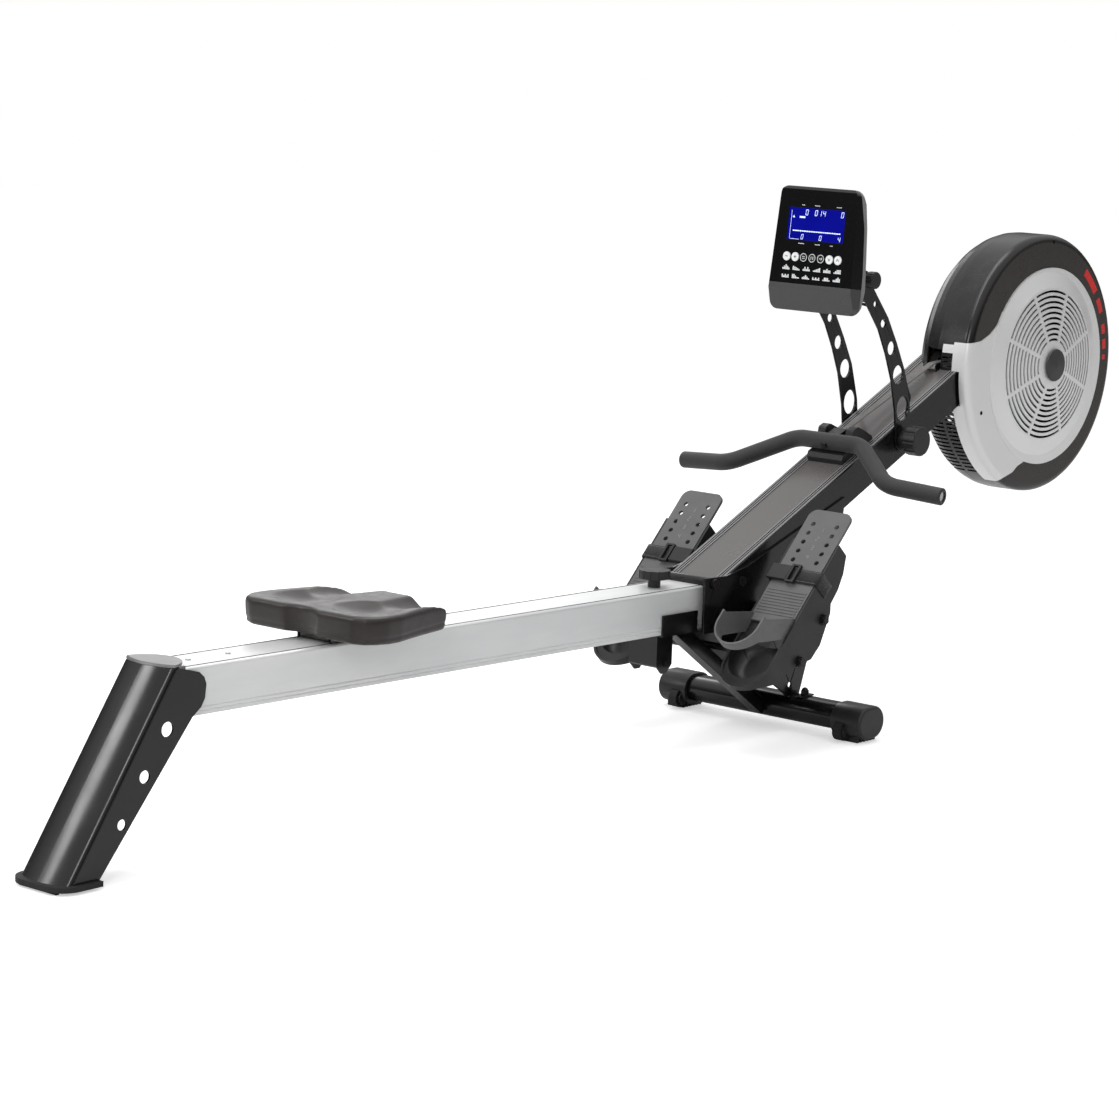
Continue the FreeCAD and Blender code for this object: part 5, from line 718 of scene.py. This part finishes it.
# %% The foot straps
FOOT_TILT = math.radians(46.2)
FOOT_PLACE = Vector((-0.0449, 0, 0.3669))
FOOT_SIDE, STRAP_ALONG = 0.139, -0.108
FEET = (("right", -FOOT_SIDE), ("left", FOOT_SIDE))
STRAP_HALF, STRAP_LIFT, STRAP_THICK, STRAP_WIDTH = 0.05055, 0.00255, 0.0023, 0.0276
STRAP_BEND, STRAP_DROP = 0.00375, 0.0325
foot_turn = Matrix.Translation(FOOT_PLACE) @ Matrix.Rotation(-FOOT_TILT, 4, "Y")


def strap_line(centre):
    """Up one side of the rest, over the sole and down the other side."""
    points = [Vector((STRAP_ALONG, centre - STRAP_HALF, -STRAP_DROP))]
    for side, angles in ((-1, range(180, 89, -18)), (1, range(90, -1, -18))):
        for angle in angles:
            turn = math.radians(angle)
            points.append(Vector((STRAP_ALONG, centre + side * (STRAP_HALF - STRAP_BEND)
                                  + STRAP_BEND * math.cos(turn),
                                  STRAP_LIFT - STRAP_BEND + STRAP_BEND * math.sin(turn))))
    points.append(Vector((STRAP_ALONG, centre + STRAP_HALF, -STRAP_DROP)))
    return divided(points, 0.006)


for hand, centre in FEET:
    mesh = ribbon(strap_line(centre), Vector((1, 0, 0)), STRAP_WIDTH, STRAP_THICK, foot_turn)
    strap = new_piece("foot_strap_" + hand, mesh, "frame", "webbing")
    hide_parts("foot_straps")
print("foot straps:", len(FEET))

# %% [markdown]
# ## The pull strap
# The pull strap runs straight from the handle's clip to the guide roller, and on to the top of its
# reel. It is tight, so three points describe it.

# %% The pull strap
BAR, GUIDE, REEL = Vector((0.143, 0, 0.479)), Vector((0.440, 0, 0.596)), Vector((0.681, 0, 0.587))
CLIP_REACH, REEL_REACH = 0.028, 0.0315
PULL_WIDTH, PULL_THICK = 0.0148, 0.0022

first_run = (GUIDE - BAR).normalized()
away = REEL - GUIDE
lean = math.atan2(away.z, away.x) + math.asin(REEL_REACH / away.length)
last_length = math.sqrt(away.length ** 2 - REEL_REACH ** 2)
reel_top = GUIDE + Vector((math.cos(lean), 0, math.sin(lean))) * last_length
pull_line = divided([BAR + first_run * CLIP_REACH, GUIDE, reel_top], 0.012)
pull_mesh = ribbon(pull_line, Vector((0, 1, 0)), PULL_WIDTH, PULL_THICK)
pull = new_piece("pull_webbing", pull_mesh, "handle", "pull_webbing")
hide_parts("pull_strap")
print("pull strap runs", round(sum((b - a).length for a, b in zip(pull_line, pull_line[1:])), 3), "m")

# %% [markdown]
# ## Printed and moulded marks
# Marks on a panel are thin raised shapes in a plane of their own: a is to the reader's right, b is
# upward and h stands out of the surface. A matrix with those three axes puts them on the panel. The
# digits are the usual seven strokes of a segment display.

# %% Helpers for marks
MM = 0.001
STROKES = {"a": ((0, 2), (1, 2)), "b": ((1, 2), (1, 1)), "c": ((1, 1), (1, 0)), "d": ((0, 0), (1, 0)),
           "e": ((0, 1), (0, 0)), "f": ((0, 2), (0, 1)), "g": ((0, 1), (1, 1))}
DIGITS = {"0": "abcdef", "1": "bc", "2": "abged", "3": "abgcd", "4": "fgbc", "5": "afgcd"}


def panel_axes(place, turn, right, up, out):
    """A matrix that carries (a, b, h) of a panel to the machine."""
    axes = Matrix((right, up, out)).transposed().to_4x4()
    return Matrix.Translation(place) @ turn @ axes


def bar(first, second, width):
    """A straight mark between two points of the panel, with pointed ends."""
    start, end = Vector(first), Vector(second)
    run = (end - start).normalized()
    side = Vector((-run.y, run.x)) * width / 2
    tip = run * min(width / 2, (end - start).length * 0.2)
    return [start, start + tip - side, end - tip - side, end, end - tip + side, start + tip + side]


def block(left, low, right, high):
    """An upright rectangle of the panel."""
    return [(left, low), (right, low), (right, high), (left, high)]


def segment_digit(number, left, low, height, lean=0.12):
    """The strokes of one digit of a segment display."""
    wide, unit, weight = height * 0.5, height / 2, height * 0.11
    marks = []
    for stroke in DIGITS[number]:
        ends = [(left + wide * a + lean * unit * b, low + unit * b) for a, b in STROKES[stroke]]
        marks.append(bar(*ends, weight))
    return marks


def ring_mark(centre, radius, width, count=28):
    """A ring as short blocks."""
    marks = []
    for number in range(count):
        angles = [2 * math.pi * (number + extra) / count for extra in (0, 1)]
        marks.append([(centre[0] + size * math.cos(turn), centre[1] + size * math.sin(turn))
                      for size, turn in ((radius, angles[0]), (radius, angles[1]),
                                         (radius - width, angles[1]), (radius - width, angles[0]))])
    return marks


def marks_piece(name, outlines, axes, body, slot, finish, depth, base=0.0):
    """Thin raised shapes, given in millimetres, as one piece."""
    shape = bmesh.new()
    for outline in outlines:
        rings = [[shape.verts.new(axes @ Vector((a * MM, b * MM, (base + h) * MM))) for a, b in outline]
                 for h in (0, depth)]
        shape.faces.new(rings[0])
        shape.faces.new(rings[1])
        for index in range(len(outline)):
            other = (index + 1) % len(outline)
            shape.faces.new((rings[0][index], rings[0][other], rings[1][other], rings[1][index]))
    return new_piece(name, closed_mesh(shape, name), body, slot, finish.material, smooth=False)


white_print = mottled("white_print", chart(226, 228, 230), chart(205, 208, 210), 0.45, 300)
dark_print = mottled("dark_print", chart(60, 62, 66), chart(40, 42, 46), 0.5, 300)
red_print = mottled("red_print", chart(222, 34, 28), chart(204, 28, 24), 0.4, 180)
lit_print = mottled("lit_segments", chart(222, 232, 255), chart(190, 206, 250), 0.3, 200)
lit_print.shader.inputs["Emission Color"].default_value = chart(205, 220, 255)
lit_print.shader.inputs["Emission Strength"].default_value = 0.6
print("inks ready")

# %% [markdown]
# ## The console's display
# The lit window shows three readings over a dashed course line and three below it. The digits are
# generic, as a machine shows early in a session, and stand a tenth of a millimetre thick on the lens.

# %% The console's display
LENS_DEPTH, KEY_OUT = -0.6, 1.6
console_axes = panel_axes(PANEL_PLACE, Matrix.Rotation(PANEL_LEAN, 4, "Y"), Vector((0, -1, 0)),
                          Vector((0, 0, 1)), Vector((-1, 0, 0)))

readings = []
for text, left, low, height in (("0", -25, 124.5, 9), ("014", -5, 124.5, 9), ("0", 51, 124.5, 9),
                                ("0", -30, 82.8, 8), ("0", 9, 82.8, 8), ("4", 49, 82.8, 8)):
    for place, number in enumerate(text):
        readings += segment_digit(number, left + place * height * 0.95, low, height)
DASHES, DASH_PITCH, DASH_LOW = 21, 4.9, 95.8
DASH_LONG, DASH_HIGH, FIRST_DASH = 4, 1.9, -49
for column in range(DASHES):
    left = FIRST_DASH + column * DASH_PITCH
    readings.append(block(left, DASH_LOW, left + DASH_LONG, DASH_LOW + DASH_HIGH))
readings += [block(-55, 83, -54.4, 131), block(-54, 82, -34, 82.6),
             [(-52, 119), (-47, 119), (-49.5, 123)], block(-37, 119, -25, 122)]
marks_piece("display_readings", readings, console_axes, "console", "display_glass", lit_print, 0.1,
            LENS_DEPTH)
print("segments on the display:", len(readings))

# %% [markdown]
# ## The panel's print
# White ink on the panel: short ticks where captions sit above and below the window, a ring on each
# dark key, a symbol on every key, and two rows of six small hill profiles for the courses. All of it is
# plain line work with no letters.

# %% The panel's print
KEY_HEIGHT, KEY_PITCH, KEY_RADIUS = 51.8, 18.3, 7.6
HILL_WIDTH, LEVEL_HIGH, STEP_SHARE = 15.5, 1.2, 0.85


def hill(left, low, levels):
    """A small course profile: a base line with steps on it."""
    step = HILL_WIDTH / len(levels)
    marks = [block(left, low, left + HILL_WIDTH, low + 1)]
    for number, level in enumerate(levels):
        start = left + number * step
        marks.append(block(start, low + 1, start + step * STEP_SHARE, low + 1 + LEVEL_HIGH * level))
    return marks


TICK_PITCH, TICK_SIZE = 2.2, 1.5
panel_print = []
for left, width, low in ((-34, 7, 140.5), (-6, 11, 140.5), (40, 12, 140.5), (-34, 14, 74.5), (2, 12, 74.5),
                         (34, 8, 74.5)):
    for number in range(int(width / TICK_PITCH)):
        tick = left + number * TICK_PITCH
        panel_print.append(block(tick, low, tick + TICK_SIZE, low + TICK_SIZE))
COURSE_LEFT, COURSE_TOP, COURSE_PITCH, ROW_PITCH, PER_ROW = -62, 29, 22, 14, 6
COURSES = [(2, 4, 6, 4, 2), (5, 4, 3, 2, 1), (2, 5, 2, 5, 2), (1, 2, 3, 4, 5), (3, 3, 5, 3, 3),
           (1, 3, 5, 5, 5), (4, 2, 4, 2, 4), (5, 5, 3, 1, 1), (2, 3, 5, 3, 1), (3, 1, 3, 1, 3),
           (1, 4, 4, 4, 1), (2, 2, 4, 6, 4)]
for number, levels in enumerate(COURSES):
    panel_print += hill(COURSE_LEFT + (number % PER_ROW) * COURSE_PITCH,
                        COURSE_TOP - (number // PER_ROW) * ROW_PITCH, levels)
marks_piece("panel_print", panel_print, console_axes, "console", "key_white", white_print, 0.06)

key_marks = {1: [bar((-3, 0), (3, 0), 1.3)], 2: [bar((-3, 0), (3, 0), 1.3), bar((0, -3), (0, 3), 1.3)],
             3: [bar((-3, -1.5), (3, -1.5), 1), bar((-3, 1.5), (3, 1.5), 1)],
             4: [bar((-2, -3), (-2, 3), 1.2), bar((2, -3), (2, 3), 1.2)],
             5: [bar((-3, 0), (3, 0), 1), bar((1, 2.4), (3, 0), 1), bar((1, -2.4), (3, 0), 1)],
             6: [bar((-2.5, 2), (0, -2.5), 1.2), bar((2.5, 2), (0, -2.5), 1.2)],
             7: [bar((-2.5, -2), (0, 2.5), 1.2), bar((2.5, -2), (0, 2.5), 1.2)]}
MIDDLE_KEY, DARK_KEYS, RING_INSET, RING_WIDTH = 4, (3, 4, 5), 0.4, 1.1
for number, marks in key_marks.items():
    centre = ((number - MIDDLE_KEY) * KEY_PITCH, KEY_HEIGHT)
    outlines = [[(a + centre[0], b + centre[1]) for a, b in mark] for mark in marks]
    dark_key = number in DARK_KEYS
    if dark_key:
        outlines += ring_mark(centre, KEY_RADIUS - RING_INSET, RING_WIDTH)
    marks_piece(f"key_mark_{number}", outlines, console_axes, f"console_button_{number}", "key_dark",
                white_print if dark_key else dark_print, 0.06, KEY_OUT)
print("marks on the panel:", len(panel_print), "and on", len(key_marks), "keys")

# %% [markdown]
# ## Size numbers on the soles
# The sliding soles are numbered between their two columns of holes, so that the rower can find the
# same setting again. The numbers are a paler grey than the sole and stand up by a third of a
# millimetre.

# %% Size numbers on the soles
HOLE_PITCH, NUMBER_HEIGHT = 19.05, 8.0
number_ink = mottled("moulded_number", chart(150, 149, 148), chart(138, 137, 136), 0.5, 300)
HOLE_ROWS = 4
sole_axes = panel_axes(FOOT_PLACE, Matrix.Rotation(-FOOT_TILT, 4, "Y"), Vector((0, -1, 0)),
                       Vector((1, 0, 0)), Vector((0, 0, 1)))
for hand, centre in FEET:
    outlines = []
    for row in range(HOLE_ROWS):
        low = -row * HOLE_PITCH - HOLE_PITCH / 2 - NUMBER_HEIGHT / 2
        outlines += segment_digit(str(row + 1), -centre / MM - 2, low, NUMBER_HEIGHT, lean=0)
    marks_piece("sole_numbers_" + hand, outlines, sole_axes, "foot_slider_" + hand, "grey_plastic",
                number_ink, 0.35)
print("numbers on both soles")

# %% [markdown]
# ## Stitches on the foot straps
# Two rows of short stitches lie over each foot strap. Each stitch is a pointed bar a third of a
# millimetre thick, sunk a little so that it sits in the cloth rather than on it.

# %% Stitches on the foot straps
STITCH_PITCH, STITCH_LONG, STITCH_IN = 3.4, 2.2, 10.6
STITCHES_EACH_WAY, STITCH_SUNK = 13, 0.1
strap_top = (STRAP_LIFT + STRAP_THICK / 2) / MM
for hand, centre in FEET:
    stitches = []
    for number in range(-STITCHES_EACH_WAY, STITCHES_EACH_WAY + 1):
        left = -centre / MM + number * STITCH_PITCH - STITCH_LONG / 2
        for row in (-STITCH_IN, STITCH_IN):
            high = STRAP_ALONG / MM + row
            stitches.append(bar((left, high), (left + STITCH_LONG, high), 0.5))
    marks_piece("stitches_" + hand, stitches, sole_axes, "frame", "webbing", number_ink, 0.3,
                strap_top - STITCH_SUNK)
print("stitches on each strap:", len(stitches))

# %% [markdown]
# ## Blocks and painted well shade on the housing
# Five red blocks of falling size follow the housing's rim, and two near-black discs of painted shade
# stand for the screw wells beside it. The shell is curved there, so a flat mark would sink or float.
# Each mark is draped instead: a ray cast straight in from the side finds the surface under every point,
# and a second layer lies just above it.

# %% Blocks and wells on the housing
WHEEL, BESIDE = Vector((0.681, 0, 0.587)), -0.3
BLOCK_STEPS, BLOCK_THICK, WELL_THICK, RIM_POINTS = 6, 0.0003, 0.0002, 20


def surface_of(node):
    """A model piece's faces, ready for rays."""
    skin = frame["nodes"][node].data
    return BVHTree.FromPolygons([point.co for point in skin.vertices],
                                [face.vertices[:] for face in skin.polygons])


def draped(surface, start, lift):
    """The point of a surface straight in from its right side, lifted off it."""
    start.y = BESIDE
    spot, facing = surface.ray_cast(start, Vector((0, 1, 0)))[:2]
    return spot + facing * lift


shell_surface = surface_of("housing_shell_right")


def on_shell(angle, radius, lift):
    """A point of the right shell at an angle and radius about the wheel."""
    start = WHEEL + Vector((math.cos(angle), 0, math.sin(angle))) * radius
    return draped(shell_surface, start, lift)


def draped_block(shape, angles, radii):
    """A thin slab on the shell between two angles and two radii."""
    steps = BLOCK_STEPS
    turns = [angles[0] + (angles[1] - angles[0]) * step / steps for step in range(steps + 1)]
    layers = [[[shape.verts.new(on_shell(turn, radius, lift)) for turn in turns] for radius in radii]
              for lift in (0.0, BLOCK_THICK)]
    for step in range(steps):
        for rows in layers:
            shape.faces.new((rows[0][step], rows[0][step + 1], rows[1][step + 1], rows[1][step]))
        for row in (0, 1):
            shape.faces.new((layers[0][row][step], layers[0][row][step + 1], layers[1][row][step + 1],
                             layers[1][row][step]))
    for end in (0, steps):
        shape.faces.new((layers[0][0][end], layers[0][1][end], layers[1][1][end], layers[1][0][end]))


RED_ARCS = ((51, 36, 0.2020, 0.2165), (31.5, 23.5, 0.2035, 0.2155), (17, 12, 0.2035, 0.2150),
            (9, 4, 0.2035, 0.2145), (1, -1.5, 0.2040, 0.2130))
shape = bmesh.new()
for first, last, inner, outer in RED_ARCS:
    draped_block(shape, (math.radians(first), math.radians(last)), (inner, outer))
new_piece("rim_blocks", closed_mesh(shape, "rim_blocks"), "frame", "housing_plastic", red_print.material,
          smooth=False)
print("red blocks:", len(RED_ARCS))

# The screw wells are painted shade: matte near-black discs where the deep holes lie in shade.
well_painted_shade = Finish("well_painted_shade", chart(6, 6, 6), 0.7, specular=0.1)
WELLS = (("housing_shell_right", 0.7026, 0.8096, 0.0036), ("grille_panel_right", 0.4905, 0.5103, 0.0038))
for node, x, z, radius in WELLS:
    surface, shape = surface_of(node), bmesh.new()
    turns = [2 * math.pi * number / RIM_POINTS for number in range(RIM_POINTS)]
    starts = [Vector((x + radius * math.cos(turn), BESIDE, z + radius * math.sin(turn))) for turn in turns]
    lower, upper = [[shape.verts.new(draped(surface, start, lift)) for start in starts]
                    for lift in (0.0, WELL_THICK)]
    shape.faces.new(lower)
    shape.faces.new(upper)
    for number in range(RIM_POINTS):
        after = (number + 1) % RIM_POINTS
        shape.faces.new((lower[number], lower[after], upper[after], upper[number]))
    new_piece("screw_well_shade_" + node, closed_mesh(shape, "screw_well_shade"), "frame", slot_of[node],
              well_painted_shade.material, smooth=False)
print("screw wells:", len(WELLS))

# %% [markdown]
# ## The surround
# A white surround keeps the machine as the only dark thing in the room. It is full white to the camera
# and gentler as a light, so that colours render about as they were mixed. Reflections see a dark
# horizon under a bright ceiling, as gloss paint does in a studio.

# %% The surround
world = bpy.data.worlds.new("surround")
bpy.context.scene.world = world
world.use_nodes = True
air, wires = world.node_tree.nodes, world.node_tree.links
sky = air["Background"]
sky.inputs["Color"].default_value = (1, 1, 1, 1)
ray = air.new("ShaderNodeLightPath")
seen = air.new("ShaderNodeMath")
seen.operation = "MAXIMUM"
wires.new(ray.outputs["Is Camera Ray"], seen.inputs[0])
wires.new(ray.outputs["Is Transmission Ray"], seen.inputs[1])
SURROUND_LIGHT, HORIZON, CEILING = 0.55, 0.1, 1.0
HORIZON_HEIGHT, CEILING_HEIGHT = 0.1, 0.6
compass = air.new("ShaderNodeSeparateXYZ")
wires.new(air.new("ShaderNodeTexCoord").outputs["Generated"], compass.inputs[0])
reflected = air.new("ShaderNodeMapRange")
reflected.interpolation_type = "SMOOTHSTEP"
for socket, number in (("From Min", HORIZON_HEIGHT), ("From Max", CEILING_HEIGHT), ("To Min", HORIZON),
                       ("To Max", CEILING)):
    reflected.inputs[socket].default_value = number
wires.new(compass.outputs["Z"], reflected.inputs["Value"])
lit = air.new("ShaderNodeMix")
lit.inputs[2].default_value = SURROUND_LIGHT
wires.new(ray.outputs["Is Glossy Ray"], lit.inputs[0])
wires.new(reflected.outputs["Result"], lit.inputs[3])
level = air.new("ShaderNodeMix")
level.inputs[3].default_value = 1.0
wires.new(seen.outputs[0], level.inputs[0])
wires.new(lit.outputs[0], level.inputs[2])
wires.new(level.outputs[0], sky.inputs["Strength"])
print("surround light", SURROUND_LIGHT, "and in reflections", HORIZON, "to", CEILING)

# %% [markdown]
# ## The floor
# A wide pale disc lies half a millimetre under the machine's feet and takes its shadow. It glows a
# little for the camera alone, so that it meets the white surround without an edge.

# %% The floor
FLOOR_REACH, FLOOR_DROP = 14.0, 0.0005


def pale_floor():
    """A wide disc just under the machine's feet."""
    shape = bmesh.new()
    bmesh.ops.create_circle(shape, cap_ends=True, radius=FLOOR_REACH, segments=96)
    mesh = bpy.data.meshes.new("floor")
    shape.to_mesh(mesh)
    shape.free()
    disc = placed("floor", mesh)
    disc.location.z = -FLOOR_DROP
    return disc


FLOOR_GLOW = 0.5
floor = pale_floor()
paint = Finish("floor_paint", (0.9, 0.9, 0.9, 1), 0.7, specular=0.2)
path = paint.nodes.new("ShaderNodeLightPath")
gain = paint.nodes.new("ShaderNodeMath")
gain.operation = "MULTIPLY"
gain.inputs[1].default_value = FLOOR_GLOW
paint.links.new(path.outputs["Is Camera Ray"], gain.inputs[0])
paint.shader.inputs["Emission Color"].default_value = (1, 1, 1, 1)
paint.links.new(gain.outputs[0], paint.shader.inputs["Emission Strength"])
floor.data.materials.append(paint.material)
print("floor is", 2 * FLOOR_REACH, "m across")

# %% [markdown]
# ## The lamps
# Four large soft lamps shape the metal. One hangs overhead, one stands behind the camera's left
# shoulder, one lights the rims from the far side, and one is placed so that the broad face of the rear
# leg mirrors it. Large lamps give the wide, soft-edged highlights of a studio.

# %% The lamps
def soft_lamp(name, place, target, width, height, power):
    """A rectangular soft lamp that faces a point."""
    light = bpy.data.lights.new(name, "AREA")
    light.shape, light.size, light.size_y, light.energy = "RECTANGLE", width, height, power
    lamp = placed(name, light)
    lamp.location = place
    aim = Vector(target) - Vector(place)
    lamp.rotation_mode = "QUATERNION"
    lamp.rotation_quaternion = aim.to_track_quat("-Z", "Y")


MIDDLE, LEG = (-0.4, 0, 0.3), (-1.55, 0, 0.15)
LAMPS = (("overhead", (-0.4, 0.3, 2.8), MIDDLE, 3.2, 1.2, 40),
         ("left_shoulder", (-3.4, -1.6, 1.95), LEG, 0.7, 0.9, 20),
         ("far_rim", (1.4, 2.6, 1.4), MIDDLE, 1.8, 1.0, 12),
         ("leg_light", (-3.3, 1.7, 2.05), LEG, 1.0, 0.75, 24))
for row in LAMPS:
    soft_lamp(*row)
bpy.context.scene.view_settings.view_transform = "Standard"
print("lamps:", len(LAMPS))
